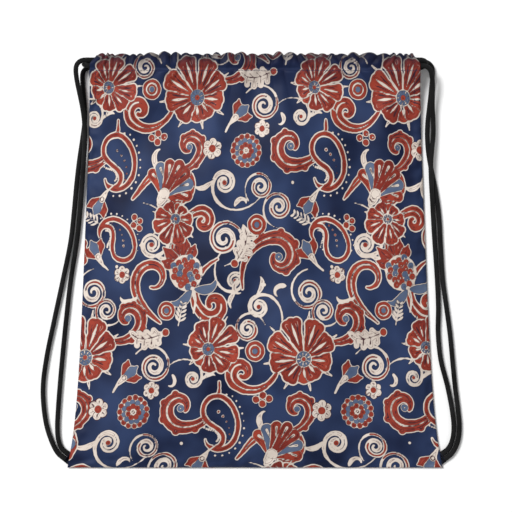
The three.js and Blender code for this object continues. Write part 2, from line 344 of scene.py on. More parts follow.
cord_material, surface = new_material("braided_polyester_cord", {
    "Roughness": 0.82, "IOR": 1.5, "Specular IOR Level": 0.14,
    "Sheen Weight": 0.04, "Sheen Roughness": 0.5,
})
cord_tree = cord_material.node_tree
place = add_node(cord_tree, "ShaderNodeTexCoord").outputs["Object"]
filaments = add_node(
    cord_tree, "ShaderNodeTexNoise", {"Vector": place, "Scale": 1 / (filament_mm * MM), "Detail": 3.0},
)
worn = add_node(
    cord_tree, "ShaderNodeTexNoise", {"Vector": place, "Scale": 1 / (worn_patch_mm * MM), "Detail": 2.0},
)
tone = add_node(
    cord_tree, "ShaderNodeMath",
    {0: filaments.outputs["Fac"], 1: filament_contrast, 2: worn.outputs["Fac"]},
    operation="MULTIPLY_ADD",
)
black = add_node(cord_tree, "ShaderNodeValToRGB", {"Fac": tone.outputs[0]})
for stop, position, colour in zip(black.color_ramp.elements, (darkest_at, 1), ("090909", "1b1b1c")):
    stop.position = position
    stop.color = linear(colour)
relief = add_node(
    cord_tree, "ShaderNodeBump",
    {"Height": filaments.outputs["Fac"], "Strength": 0.5, "Distance": filament_relief * MM},
)
cord_tree.links.new(black.outputs["Color"], surface.inputs["Base Color"])
cord_tree.links.new(relief.outputs["Normal"], surface.inputs["Normal"])
print(len(cord_tree.nodes), "nodes in the cord's material")

# %% [markdown]
# A loose strand is one tube from 10 mm inside its casing down to the corner. Towards the sewn end
# the cord is pressed a little flat.

# %% Loose strands
casing_entry = 10
press_length = 13
pressed_wide = 0.12
pressed_low = 0.16


def clamp01(value):
    return np.clip(value, 0, 1)


def smooth(value):
    t = clamp01(value)
    return t * t * (3 - 2 * t)


def pressed(along):
    """How much wider and lower a cord gets towards its sewn end, where along is 0."""
    near = 1 - smooth(along / press_length)
    return 1 + pressed_wide * near, 1 - pressed_low * near


def loose_strand(name, route, node):
    x, y, z = route[0]
    entry = (x - math.copysign(casing_entry, x), y, z)
    line = smooth_route([entry, *route], cord_step)[::-1]
    piece = braided_tube(name, line, cord_material, pressed(np.arange(len(line)) * cord_step))
    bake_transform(piece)
    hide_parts(node)
    path = line.copy()
    path[:, 1] -= bag_height / 2
    path *= MM
    print(name, round(length_of(line), 1), "mm")


for side in sides:
    for face in ("front", "back"):
        node = f"{side}_cord_{face}_strand"
        loose_strand(f"{side}_strand_to_{face}_casing", routes[side][face], node)

# %% [markdown]
# In the bottom corners the ends go on between the two panels. Dense stitching presses them flat
# there, side by side.

# %% Sewn cord ends
entry_angle = math.radians(38)
end_length = 12
end_z = 2.05
end_wide = 0.2
end_low = 0.55
sinking_length = 6


def cord_end(name, route, node):
    x, y, z = route[-1]
    into = (-math.copysign(math.cos(entry_angle), x), -math.sin(entry_angle))
    along = np.arange(0, end_length, cord_step)
    sunk = smooth(along / sinking_length)
    line = np.column_stack([x + into[0] * along, y + into[1] * along, z + (end_z - z) * sunk])
    wide = 1 + pressed_wide
    low = 1 - pressed_low
    flatten = (wide + (1 + end_wide - wide) * sunk, low + (1 - end_low - low) * sunk)
    piece = braided_tube(name, line, cord_material, flatten)
    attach(piece, "root")
    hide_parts(node)


for side in sides:
    for face in ("front", "back"):
        cord_end(f"{side}_{face}_cord_end", routes[side][face], f"{side}_corner_tack")
print("sewn cord ends", end_length, "mm long")

# %% [markdown]
# Inside the casings each cord runs straight across, and its half turn shows just past the far
# end. That whole stretch slides with its cord, so it is one piece.

# %% Runs and half turns
loop_bulge = 6.6
solid_gap = 0.3
loop_points = 24
run_points = 25


def run_through_casings(side, front_y, back_y):
    """side is -1 where the cord's ends are on the left, and its half turn is then on the right."""
    x = np.linspace(side * (mouth_half_width - casing_entry), -side * mouth_half_width, run_points)
    front = np.column_stack([x, np.full_like(x, front_y), np.full_like(x, front_casing_z)])
    angle = np.linspace(0, math.pi, loop_points + 1)
    share = (1 - np.cos(angle)) / 2
    half_turn = np.column_stack([
        -side * (mouth_half_width + solid_gap + loop_bulge * np.sin(angle)),
        front_y + (back_y - front_y) * share,
        front_casing_z + (back_casing_z - front_casing_z) * share,
    ])
    back = np.column_stack([x, np.full_like(x, back_y), np.full_like(x, back_casing_z)])[::-1]
    return smooth_route(np.vstack([front, half_turn, back]), cord_step)


for cord, side, front_y, back_y in (
    ("left_cord", sides["left"], upper_cord_y, lower_cord_y),
    ("right_cord", sides["right"], lower_cord_y, upper_cord_y),
):
    line = run_through_casings(side, front_y, back_y)
    piece = braided_tube(f"{cord}_in_casings", line, cord_material)
    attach(piece, cord)
    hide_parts(f"{cord}_front_run", f"{cord}_loop", f"{cord}_back_run")
    print(piece.name, round(length_of(line)), "mm")

# %% [markdown]
# ## The bag's surface
#
# The construction model gives the plain outline and the crown of each panel, and the same
# formulas are used here. The front panel swells up from the floor, and its top rises to the
# casing.

# %% Outline and crown
panel_top = casing_bottom - solid_gap
lift_starts_at = 300
lift_power = 2.6
bottom_rise_length = 130
bottom_rise_power = 2.2
crown_height = 28
crown_ends_at = 270
edge_power = 4
back_rise_length = 35


def half_width(y):
    taper = bottom_half_width - mouth_half_width - corner_flare
    flare = corner_flare * np.exp(-y / corner_flare_reach)
    return mouth_half_width + taper * (1 - y / bag_height) + flare


def seam_lift(y):
    top = front_casing_z - solid_cloth / 2 - seam_stack
    return top * clamp01((y - lift_starts_at) / (panel_top - lift_starts_at)) ** lift_power


def front_underside(x, y):
    share = np.minimum(1, np.abs(x) / half_width(y))
    edge = seam_stack + seam_lift(y)
    rise = 1 - clamp01(1 - y / bottom_rise_length) ** bottom_rise_power
    full = seam_stack + (crown_height - seam_stack) * rise
    mouth = front_casing_z - solid_cloth / 2
    crown = full + (mouth - full) * smooth((y - crown_ends_at) / (panel_top - crown_ends_at))
    return edge + (crown - edge) * (1 - share ** crown_power)


def back_underside(x, y):
    share = np.minimum(1, np.abs(x) / half_width(y))
    top = back_casing_z - solid_cloth / 2
    middle = top * smooth((y - panel_top + back_rise_length) / back_rise_length)
    seam_top = seam_lift(slit_base)
    slit_share = smooth((y - slit_base) / (panel_top - slit_base))
    edge = np.where(y < slit_base, seam_lift(y), seam_top + (top - seam_top) * slit_share)
    return middle + (edge - middle) * share ** edge_power


print("front panel's crown", round(float(front_underside(0, 200)), 1), "mm above the floor")

# %% [markdown]
# Cloth that is gathered on a cord stands in small puffs with sharp creases between them. Their
# widths are random but seeded, so the bag is the same on each run, and a narrow puff stands lower
# than a wide one. The back casing has the same puffs, shifted a little, because the same cords
# gather it.

# %% Puffs of the gathers
puff_width = (6.0, 16.0)
puff_height = (0.45, 1.0)
full_puff_width = 12
narrowest_share = 0.15
puff_power = 0.75
spare_width = 4
gather_offset = 1.2


def puff_edges(seed):
    random = np.random.default_rng(seed)
    reach = mouth_half_width + puff_width[1] + spare_width
    edges = [-reach]
    while edges[-1] < reach:
        edges.append(edges[-1] + random.uniform(*puff_width))
    widths = np.diff(edges, append=edges[-1] + puff_width[1])
    fullness = clamp01(narrowest_share + widths / full_puff_width)
    return np.array(edges), random.uniform(*puff_height, len(edges)) * fullness


def puffs(x, gathers):
    edges, heights = gathers
    index = np.clip(np.searchsorted(edges, x) - 1, 0, len(edges) - 2)
    share = clamp01((x - edges[index]) / (edges[index + 1] - edges[index]))
    return heights[index] * np.sin(math.pi * share) ** puff_power


front_gathers = puff_edges(11)
back_gathers = (front_gathers[0] + gather_offset, front_gathers[1])
print(len(front_gathers[0]), "puffs across a casing")

# %% [markdown]
# Below the casing the puffs run together into fewer and softer folds, which fade out down the
# panel. Random waves of a given length make those folds, and slower ones the rise and fall of the
# empty bag. A cloth simulation would fold as freely, but it takes long to settle, and it would
# not keep to the room that the construction model gives.

# %% Folds under a casing
stitch_line_y = 401.8
wave_variety = (0.75, 1.4)
puff_fade = 15.0
puff_spread = 0.12
puff_fold_height = 3.2
puff_starts = 3.0
gather_folds = (
    {"height": 1.3, "wavelength": 22, "stretch_y": 4.0, "fade": 34, "starts": 16.0},
    {"height": 1.8, "wavelength": 46, "stretch_y": 3.5, "fade": 85, "starts": 40.0},
)


def ripples(x, y, wavelength, seed, stretch_y=1.0, waves=14):
    """Smooth random waves of about one wavelength, as long again along Y as stretch_y says."""
    random = np.random.default_rng(seed)
    total = np.zeros(np.broadcast(x, y).shape)
    for _ in range(waves):
        heading = random.uniform(0, 2 * math.pi)
        pace = 2 * math.pi / (wavelength * random.uniform(*wave_variety))
        phase = random.uniform(0, 2 * math.pi)
        total += np.cos(pace * (math.cos(heading) * x + math.sin(heading) * y / stretch_y) + phase)
    return total * math.sqrt(2 / waves)


def puffs_below(x, below, gathers):
    """The casing's puffs, a little wider the further down the panel they are followed."""
    return puffs(x / (1 + puff_spread * below / puff_fade), gathers)


def gathered(x, y, gathers, seed):
    """How far the folds under a casing stand out of the panel."""
    below = np.maximum(0, stitch_line_y - y)
    total = puff_fold_height * puffs_below(x, below, gathers)
    total = total * np.exp(-below / puff_fade) * smooth(below / puff_starts)
    for number, fold in enumerate(gather_folds):
        waves = fold["height"] * ripples(x, y, fold["wavelength"], seed + number, fold["stretch_y"])
        total = total + waves * np.exp(-below / fold["fade"]) * smooth(below / fold["starts"])
    return total


print("gathers 10 mm below the stitches:", round(float(gathered(0, 391.8, front_gathers, 31)), 2), "mm")


# %% [markdown]
# A seam holds the cloth down, draws small puckers beside itself and rolls the cloth's edge over.
# In the bottom corners the panels also rise over the cord ends. The row of stitches that closes a
# casing lies nearer the casing's outer skin, so the top of the panel goes out to meet it.

# %% Slow folds, puckers and edges
slow_folds = (
    {"height": 2.1, "wavelength": 130, "stretch_y": 1.3},
    {"height": 1.6, "wavelength": 64, "stretch_y": 1.6},
)
slow_fold_margin = 55
pucker_height = 0.45
pucker_wavelength = 13
pucker_from_seam = 5
pucker_reach = 7
pucker_starts = 3
roll_radius = 2.2
roll_drop = 1.9
corner_lift = 1.3
cord_ends_y = 11
cord_ends_high = 8
cord_ends_wide = 9
seam_shift = 1.9
skin_depth = 0.6
shift_starts = 17
shift_length = 16


def edge_distance(x, y):
    return np.minimum(half_width(y) - np.abs(x), y)


def soft_body(x, y, seed):
    away = edge_distance(x, y)
    slow = 0
    for number, fold in enumerate(slow_folds):
        waves = ripples(x, y, fold["wavelength"], seed + number, fold["stretch_y"])
        slow = slow + fold["height"] * waves
    held = smooth(np.minimum(away, stitch_line_y - y) / slow_fold_margin)
    pucker = pucker_height * ripples(x, y, pucker_wavelength, seed + len(slow_folds))
    pucker = pucker * np.exp(-((away - pucker_from_seam) / pucker_reach) ** 2)
    return slow * held + pucker * smooth(away / pucker_starts)


def rolled_edge(x, y):
    short = clamp01(1 - edge_distance(x, y) / roll_radius)
    return roll_drop * (1 - np.sqrt(1 - short ** 2))


def over_cord_ends(x, y):
    inset = np.maximum(0, half_width(y) - np.abs(x))
    along = np.exp(-((y - cord_ends_y) / cord_ends_high) ** 2)
    return corner_lift * along * np.exp(-(inset / cord_ends_wide) ** 2)


def to_outer_skin(y):
    return (seam_shift + skin_depth) * smooth((y - stitch_line_y + shift_starts) / shift_length)


print("the bottom edge is rolled over by", round(float(rolled_edge(0, 0)), 1), "mm")


# %% [markdown]
# The outer face of each panel is the construction model's underside with all of these on it. The
# back panel lies on the floor, so its folds only go upwards, away from the floor.

# %% Faces of the panels
edge_calm = 12
back_fold_share = 0.8


def front_surface(x, y):
    away = smooth(edge_distance(x, y) / edge_calm)
    folds = gathered(x, y, front_gathers, seed=31) * away + soft_body(x, y, seed=41)
    folds = folds + over_cord_ends(x, y) + to_outer_skin(y)
    return front_underside(x, y) + solid_cloth - rolled_edge(x, y) + folds


def back_surface(x, y):
    away = smooth(edge_distance(x, y) / edge_calm)
    folds = np.abs(gathered(x, y, back_gathers, seed=51)) * away * back_fold_share
    return back_underside(x, y) + rolled_edge(x, y) + folds - to_outer_skin(y)


print("dressed front, 200 mm up:", round(float(front_surface(0, 200)), 1), "mm above the floor")

# %% [markdown]
# ## Panels
#
# A panel is a closed sheet of cloth: a fine printed face, a coarser white face 0.5 mm behind it
# and a narrow border that joins them. A Solidify modifier would thicken a sheet too, but its inner
# face would be as fine as the outer one. The bag narrows from both sides when its cords are drawn,
# so each panel is cut down the middle into two halves.
# The halves share their middle points and normals, so the cut doesn't show.

# %% Grid of a panel
cloth_thickness = 0.5
edge_steps = [0, 0.15, 0.5, 1.0, 1.6, 2.3]


def graded(length, spacing):
    """Places from an edge inwards: close together at the edge, then even. Their number is odd."""
    count = math.ceil((length - edge_steps[-1]) / spacing)
    count += (len(edge_steps) + count) % 2 == 0
    even = np.linspace(edge_steps[-1], length, count + 1)[1:]
    return np.concatenate([edge_steps, even])


def grid_normals(points):
    along = np.gradient(points, axis=1)
    up = np.gradient(points, axis=0)
    normals = np.cross(along, up)
    return normals / np.linalg.norm(normals, axis=2)[..., None]


def panel_grid(surface_of, spacing, top):
    shares = graded(bottom_half_width, spacing) / bottom_half_width
    shares = np.concatenate([shares - 1, (1 - shares[:-1])[::-1]])
    rows = graded(top, spacing)
    y = np.repeat(rows[:, None], len(shares), axis=1)
    x = half_width(y) * shares[None, :]
    return np.stack([x, y, surface_of(x, y)], -1)


def halves(array):
    middle = array.shape[1] // 2
    return {"left": array[:, :middle + 1], "right": array[:, middle:]}


print(len(graded(bottom_half_width, 1.0)), "columns from an edge to the middle, at about 1 mm")

# %% Close a sheet
def numbered(grid, first=0):
    """The numbers that a grid's points have in a mesh, where the first of them is given."""
    return first + np.arange(grid.shape[0] * grid.shape[1]).reshape(grid.shape[:2])


def rim_of(grid):
    """The outermost numbers of a grid, once round."""
    return np.concatenate([grid[0, :-1], grid[:-1, -1], grid[-1, :0:-1], grid[:0:-1, 0]])


def quads_of(grid):
    return np.stack([grid[:-1, :-1], grid[:-1, 1:], grid[1:, 1:], grid[1:, :-1]], -1).reshape(-1, 4)


def closed_sheet(outer, inner):
    """Faces of a sheet whose inner face has every second row and column of its outer face.

    They are turned over where the grid runs the other way round, so that they point outwards.
    """
    at = numbered(outer)
    under = numbered(inner, at.size)
    front = quads_of(at)
    back = quads_of(under)[:, [0, 3, 2, 1]]
    rim = rim_of(at).tolist()
    inner_rim = rim_of(under).tolist()
    border = []
    for k, here in enumerate(inner_rim):
        after = inner_rim[(k + 1) % len(inner_rim)]
        first, middle, last = rim[2 * k], rim[2 * k + 1], rim[(2 * k + 2) % len(rim)]
        border += [[here, after, middle], [here, middle, first], [after, last, middle]]
    faces = front.tolist() + back.tolist() + border
    corner = outer[0, 0]
    if np.cross(outer[0, 1] - corner, outer[1, 0] - corner) @ (corner - inner[0, 0]) < 0:
        faces = [face[::-1] for face in faces]
    kinds = np.zeros(len(faces), np.int32)
    kinds[len(front):len(front) + len(back)] = 1
    return faces, kinds


small = np.stack(np.meshgrid(np.arange(5.0), np.arange(5.0), [0.0]), -1)[:, :, 0]
print("a sheet of 5 x 5 points has", len(closed_sheet(small + (0, 0, 1), small[::2, ::2])[0]), "faces")


# %% [markdown]
# A piece beside a side of the bag has its place baked into its points. It is not bent when a
# cord is drawn.


def bend_with_flank(piece):
    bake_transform(piece)


# %% [markdown]
# ## The print
#
# The cloth is printed in four colours on navy: cream, brick red, slate blue and a thin dark line.
# The design here is a general one of scrolls, flowers and fruit, drawn with brush strokes. An
# image painted on the cloth would blur close by. So the print is computed: for each point of the
# cloth, each colour gets its distance from the edge of that colour's shapes, in millimetres and
# negative inside. The shader turns distances into crisp edges, at any size of the picture.
#
# First come the lines. A sweep changes its bend steadily from one end to the other, a spiral winds
# outwards and then runs out in a tail, and a swell gives a stroke its thin ends and full middle.

# %% Lines of the brush
tail_starts = 0.72


def towards(heading):
    return np.array([math.cos(math.radians(heading)), math.sin(math.radians(heading))])


def sweep(start, heading, length, bend_start, bend_end, points=30):
    """A line that starts with one bend and ends with another, in degrees per millimetre."""
    run = np.linspace(0, length, points)
    turn = heading + bend_start * run + (bend_end - bend_start) * run ** 2 / (2 * length)
    step = length / (points - 1)
    angle = np.radians((turn[1:] + turn[:-1]) / 2)
    x = start[0] + np.concatenate([[0], np.cumsum(np.cos(angle))]) * step
    y = start[1] + np.concatenate([[0], np.cumsum(np.sin(angle))]) * step
    return np.column_stack([x, y])


def spiral(inner, per_turn, turns, tail, count):
    share = np.linspace(0, 1, count)
    angle = 2 * math.pi * turns * share
    in_tail = np.maximum(0, share - tail_starts) / (1 - tail_starts)
    radius = inner + per_turn * turns * share + tail * in_tail ** 2
    return np.column_stack([radius * np.cos(angle), radius * np.sin(angle)])


def swell(points, tail, belly, tip, peak=0.4):
    """Half widths of a leaf or a brush stroke: thin, then full at its peak, then thin again."""
    t = np.linspace(0, 1, points)
    rise = np.sin(math.pi * t ** (math.log(0.5) / math.log(peak)))
    return tail + (tip - tail) * t + belly * rise


print("a scroll's line is", round(length_of(spiral(5.0, 17.0, 1.15, 24, 44))), "mm long")

# %% [markdown]
# A stroke is a chain of rounded pieces, so its distance is the least distance to any of them.

# %% Distances to strokes, discs and rings
far = 60.0


def stroke(at, line, widths):
    """Signed distance to a stroke, negative inside. widths are half widths at the line's points."""
    line = np.asarray(line, float)
    widths = np.broadcast_to(widths, len(line))
    best = np.full(len(at), far)
    for a, b, low, high in zip(line, line[1:], widths, widths[1:]):
        along = b - a
        offset = at - a
        share = clamp01(offset @ along / (along @ along))
        gap = np.hypot(offset[:, 0] - share * along[0], offset[:, 1] - share * along[1])
        np.minimum(best, gap - low - (high - low) * share, out=best)
    return best


def disc(at, centre, radius):
    return np.hypot(at[:, 0] - centre[0], at[:, 1] - centre[1]) - radius


def ring(at, centre, radius, half_line):
    return np.abs(disc(at, centre, radius)) - half_line


def around(count, radius, start=0.0):
    angle = np.radians(start) + 2 * math.pi * np.arange(count) / count
    return np.column_stack([radius * np.cos(angle), radius * np.sin(angle)])


print("10 mm from a 4 mm disc's middle:", disc(np.array([[10.0, 0.0]]), (0, 0), 4)[0], "mm outside it")

# %% [markdown]
# The cloth keeps one field for each colour. A brush paints one motif in the motif's own
# millimetres. What it paints lies over what is there already, so it also cuts the other colours
# away below it. A red or slate shape gets a cream outline, as in wax-resist printing.

# %% Brush
colours = ("cream", "red", "slate", "ink")
outline_width = 0.62
tone_reach = 0.4


class Brush:
    """Paints one motif in its own millimetres. Outlines are counted in outline widths."""

    def __init__(self, at, size, fields):
        self.at, self.size, self.fields = at, size, fields

    def paint(self, colour, distance, outline=0.0, tone=None):
        distance = distance * self.size
        edge = distance - outline_width * outline
        for name in colours:
            np.maximum(self.fields[name], -edge, out=self.fields[name])
        if colour != "navy":
            np.minimum(self.fields["cream"], edge, out=self.fields["cream"])
        if colour in ("red", "slate"):
            np.minimum(self.fields[colour], distance, out=self.fields[colour])
        if tone is not None:
            self.fields["tone"][edge < tone_reach] = tone

    def ink(self, distance):
        np.minimum(self.fields["ink"], distance * self.size, out=self.fields["ink"])

    def stroke(self, colour, line, widths, outline=0.0, tone=None):
        self.paint(colour, stroke(self.at, line, widths), outline, tone)

    def spot(self, colour, centre, radius, outline=0.0, tone=None):
        self.paint(colour, disc(self.at, centre, radius), outline, tone)

    def vein(self, line, widths):
        self.ink(stroke(self.at, line, widths))


one_point = {name: np.array([far]) for name in colours}
Brush(np.array([[0.0, 0.0]]), 1.0, one_point).spot("red", (0, 0), 3.0, outline=1.0)
print("in the middle of a red spot:", {name: float(field[0]) for name, field in one_point.items()})


# %% Cloth
stamp_margin = 4


class Cloth:
    """The print on a set of points of the cloth: how far each lies from every colour's edge."""

    def __init__(self, u, v):
        self.at = np.column_stack([np.ravel(u), np.ravel(v)])
        self.fields = {name: np.full(len(self.at), far) for name in colours}
        self.fields["tone"] = np.full(len(self.at), 0.5)

    def stamp(self, motif, centre, turn, size, mirror):
        reach = reaches[motif] * size + stamp_margin
        near = np.nonzero(np.hypot(*(self.at - centre).T) < reach)[0]
        if len(near) == 0:
            return
        c, s = towards(turn)
        x, y = ((self.at[near] - centre) / size).T
        local = np.column_stack([x * c + y * s, y * c - x * s])
        if mirror:
            local[:, 0] *= -1
        brush = Brush(local, size, {name: field[near] for name, field in self.fields.items()})
        motif(brush)
        for name, field in self.fields.items():
            field[near] = brush.fields[name]


# %% [markdown]
# Each motif is one short function, and b is the brush that it is given. The large motifs are
# leaves that roll up, flowers and fruit. Small ones fill the gaps between them.

# %% Motifs: scrolls
def scroll_leaf(b):
    """A broad red leaf that rolls up round a flower bud, with lobes along its outer edge."""
    line = spiral(5.0, 17.0, 1.15, 24, 44)
    widths = swell(44, 2.0, 5.6, 0.5, 0.6)
    body = stroke(b.at, line, widths)
    for k in range(14, 38, 5):
        outward = line[k] / np.hypot(*line[k])
        np.minimum(body, disc(b.at, line[k] + outward * (widths[k] - 1.2), 3.6), out=body)
    b.paint("red", body, 2.0, 0.5)
    b.ink(np.abs(body + 2.3) - 0.36)
    b.stroke("cream", line[8:40], widths[8:40] * 0.17)
    b.vein(line[14:36], widths[14:36] * 0.05)
    b.spot("slate", (0, 0), 3.4, 1.3)
    b.spot("cream", (0, 0), 1.1)


def ribbon(b):
    """A long C-shaped band that ties the large motifs together."""
    line = sweep((-46, -16), 40, 132, 0.3, -5.4, 40)
    widths = swell(40, 0.6, 4.2, 0.6, 0.5)
    b.stroke("red", line, widths, 2.4, 0.3)
    b.stroke("cream", line[4:37], np.maximum(0.3, widths[4:37] * 0.24))
    b.vein(line[8:34], widths[8:34] * 0.1)
    leaf = sweep(line[12], 120, 26, -0.6, -8.5, 14)
    b.stroke("cream", leaf, swell(14, 0.8, 2.6, 0.5, 0.45))


def red_curl(b):
    """A thick red scroll with a dark centre line, which uncoils into a leaf."""
    line = spiral(3.4, 11.0, 1.35, 30, 48)
    widths = swell(48, 2.0, 5.2, 0.6, 0.62)
    b.stroke("red", line, widths, 2.3, 0.4)
    b.vein(line[6:40], np.maximum(0.3, widths[6:40] * 0.1))
    b.stroke("cream", line[20:44], widths[20:44] * 0.2)


def shoot(b):
    """A long cream tendril that winds into an open spiral, with a side leaf."""
    line = spiral(2.4, 5.8, 1.9, 26, 60)
    b.stroke("cream", line, swell(60, 0.8, 2.1, 0.5, 0.45))
    b.stroke("navy", line[14:34], 0.45)
    leaf = sweep(line[44], 200, 22, 1.0, -8.0, 12)
    b.stroke("cream", leaf, swell(12, 0.7, 2.0, 0.6, 0.55))
    b.spot("red", (0, 0), 2.0, 0.9, 0.4)


def curl(b):
    """A round spiral of two turns and a third."""
    line = spiral(1.8, 6.0, 2.3, 6, 56)
    b.stroke("cream", line, swell(56, 0.8, 1.7, 0.5, 0.5))
    b.stroke("red", line[26:48], 0.5, 0, 0.4)


# %% Motifs: flowers
def petal(b, length, wide, heading, tone):
    """A petal with a waved tip and a pale flame along its middle."""
    ahead = towards(heading)
    tip = ahead * length
    side = np.array([-ahead[1], ahead[0]]) * wide
    body = stroke(b.at, [tip * 0.16, tip * 0.5, tip * 0.82], [1.2, wide * 0.3, wide * 0.34])
    for sign in (-1, 1):
        lobe = [tip * 0.4, tip * 0.84 + side * sign * 0.27]
        np.minimum(body, stroke(b.at, lobe, [wide * 0.16, wide * 0.24]), out=body)
    b.paint("red", body, 2.6, tone)
    b.stroke("cream", [tip * 0.28, tip * 0.62, tip * 0.86], [0.4, 1.5, 0.5])
    for sign in (-1, 1):
        vein = [tip * along + side * sign * out for along, out in ((0.34, 0.1), (0.66, 0.2), (0.8, 0.27))]
        b.vein(vein, [0.3, 0.6, 0.4])


def blossom(b):
    """An open flower seen a little from the side, so its petals differ in length."""
    for heading in (14, 62, 118, 166, 214, 262, 310):
        ahead = towards(heading)
        tip = ahead * (34 + 7 * ahead[1])
        b.stroke("cream", [tip * 0.2, tip * 0.7, tip], [1.0, 2.0, 0.6])
        b.vein([tip * 0.5, tip * 0.9], 0.4)
    for number, heading in enumerate((250, 290, 205, 335, 165, 15, 130, 50, 90)):
        petal(b, 27 + 10 * towards(heading)[1], 17, heading, 0.2 + 0.3 * (number % 3))
    b.spot("slate", (0, 0), 6.2, 1.9)
    for seed in around(9, 4.4):
        b.stroke("cream", [seed * 0.6, seed * 1.15], [0.4, 0.8])
    b.spot("red", (0, 0), 1.9, 1.0, 0.3)


def palmette(b):
    """A fan of rounded lobes that rises from two scrolls."""
    for sign in (-1, 1):
        scroll = sweep((sign * 2, -10), 90 - sign * 30, 66, -sign * 1.0, sign * 13.5, 30)
        b.stroke("red", scroll, swell(30, 1.0, 3.4, 0.8, 0.4), 1.8, 0.6)
    for number, heading in enumerate((150, 30, 128, 52, 108, 72, 90)):
        tip = towards(heading) * (25 + 1.6 * number) + (0, -8)
        lobe = [(0, -8), tip * 0.55 + (0, -3), tip]
        b.stroke("slate" if number in (2, 3) else "red", lobe, [2.0, 3.6, 5.6], 1.7, 0.3 + 0.1 * number)
        b.stroke("cream", [tip * 0.55, tip * 0.8, tip * 0.98], [0.4, 1.2, 1.7])
        b.vein([tip * 0.72, tip * 0.98], 0.45)
    b.stroke("cream", [(0, -6), (0, -13), (0, -18)], [6.4, 5.2, 2.4])
    b.vein([(-4.5, -9), (0, -11), (4.5, -9)], 0.45)
    b.vein([(-3.2, -13), (0, -14.6), (3.2, -13)], 0.45)


# %% Motifs: fruit and leaves
def pomegranate(b):
    """A fruit of overlapping scales with a crown of leaves above and two below."""
    for heading, long in ((90, 33), (64, 30), (116, 30), (38, 25), (142, 25)):
        tip = towards(heading) * long + (0, 4)
        b.stroke("red", [(0, 6), tip * 0.72, tip], [3, 5.0, 0.5], 1.7, 0.7)
        b.vein([tip * 0.45, tip * 0.84], 0.48)
    b.paint("cream", np.minimum(disc(b.at, (0, -2), 18), stroke(b.at, [(0, -2), (0, -16)], [15, 7])))
    for row in range(6):
        y = 10 - 5.2 * row
        half = 17 - 1.15 * abs(row - 2) ** 1.5
        count = max(2, round(2 * half / 6.6)) + row % 2
        for k in range(count):
            x = (k - (count - 1) / 2) * 6.6
            if abs(x) + 2.4 < half:
                b.spot("slate" if (row + k) % 3 == 0 else "red", (x, y), 3.2, 1.2, 0.4)
                b.spot("cream", (x, y - 0.6), 0.8)
    b.stroke("cream", [(0, -20), (-1.5, -32), (-8, -42)], [2.8, 1.7, 1.1])
    for sign in (-1, 1):
        leaf = sweep((sign * 2, -21), 90 - sign * 118, 27, -sign * 1.0, sign * 7.5, 14)
        b.stroke("slate", leaf, swell(14, 0.6, 3.8, 0.4, 0.45), 1.5)


def paisley(b):
    """A teardrop with a bent tip, filled with nested contours and edged with dots."""
    line = sweep((6, -16), 122, 66, -0.6, -6.2, 32)
    widths = swell(32, 13.0, 5.5, 0.8, 0.22) * np.linspace(1, 0.35, 32)
    body = stroke(b.at, line, widths)
    b.paint("red", body, 2.3, 0.5)
    b.paint("cream", body + 3.4)
    b.paint("navy", body + 5.0)
    for k in range(2, 20, 3):
        b.spot("cream", line[k], 1.7 - 0.05 * k)
        b.spot("red", line[k], 0.7, 0, 0.2)
    for k in range(0, 26, 2):
        along = line[k + 1] - line[k]
        side = np.array([-along[1], along[0]]) / np.hypot(*along)
        for sign in (-1, 1):
            b.spot("cream", line[k] + side * sign * (widths[k] + 4.6), 1.0)


def acanthus(b):
    """A pale lobed leaf with fine dark veins."""
    spine = sweep((0, -22), 84, 52, 0.4, -3.4, 22)
    body = stroke(b.at, spine, swell(22, 1.4, 5.4, 1.0, 0.42))
    veins = []
    for k in range(4):
        base, big = spine[3 + 4 * k], 6.6 - 0.7 * abs(k - 1.4) ** 1.3
        for sign in (-1, 1):
            lobe = [base, base + (sign * (4.4 + big * 0.7), 4.2)]
            np.minimum(body, stroke(b.at, lobe, [3.2, big * 0.72]), out=body)
            veins.append([base, base + (sign * (3.4 + big * 0.6), 4.0)])
    b.paint("cream", body)
    b.vein(spine[1:20], 0.52)
    for vein in veins:
        b.vein(vein, 0.48)
    b.spot("red", spine[0] + (0, -2), 4.2, 1.6, 0.3)


def sprig(b):
    stem = sweep((0, -14), 90, 30, 0.6, -0.6, 12)
    b.stroke("cream", stem, 0.8)
    for k in range(5):
        for sign in (-1, 1):
            leaf = sweep(stem[2 + 2 * k], 90 - sign * 52, 10.5 - k, -sign * 1.0, sign * 6.0, 7)
            b.stroke("cream", leaf, swell(7, 0.6, 1.0, 0.4, 0.6))


# %% Motifs: small fillers
def floret(b):
    for middle in around(6, 6.0, 15):
        b.spot("cream", middle, 4.0)
        b.ink(ring(b.at, middle, 4.0, 0.36))
    b.spot("red", (0, 0), 3.3, 1.2, 0.3)
    for ahead in around(6, 1, 15):
        b.vein([ahead * 5.0, ahead * 7.6], 0.45)


def target(b):
    b.spot("red", (0, 0), 8.8, 1.7, 0.5)
    b.paint("cream", ring(b.at, (0, 0), 5.4, 0.85))
    b.spot("slate", (0, 0), 2.4, 1.0)


def scales(b):
    """A wheel of small scales in three rings."""
    b.spot("cream", (0, 0), 18.8)
    for count, radius, colour in ((15, 16.2, "red"), (11, 11.2, "slate"), (7, 6.4, "red")):
        for middle in around(count, radius, count * 5.0):
            b.spot(colour, middle, 2.75, 1.0, 0.6)
    b.spot("cream", (0, 0), 3.2)
    b.ink(ring(b.at, (0, 0), 1.6, 0.5))


def berries(b):
    for x, y in ((0, 0), (7.4, 1.6), (3.0, 7.4), (-4.8, 5.2)):
        b.spot("red", (x, y), 2.7, 1.5, 0.5)
        b.spot("cream", (x - 0.6, y + 0.6), 0.8)


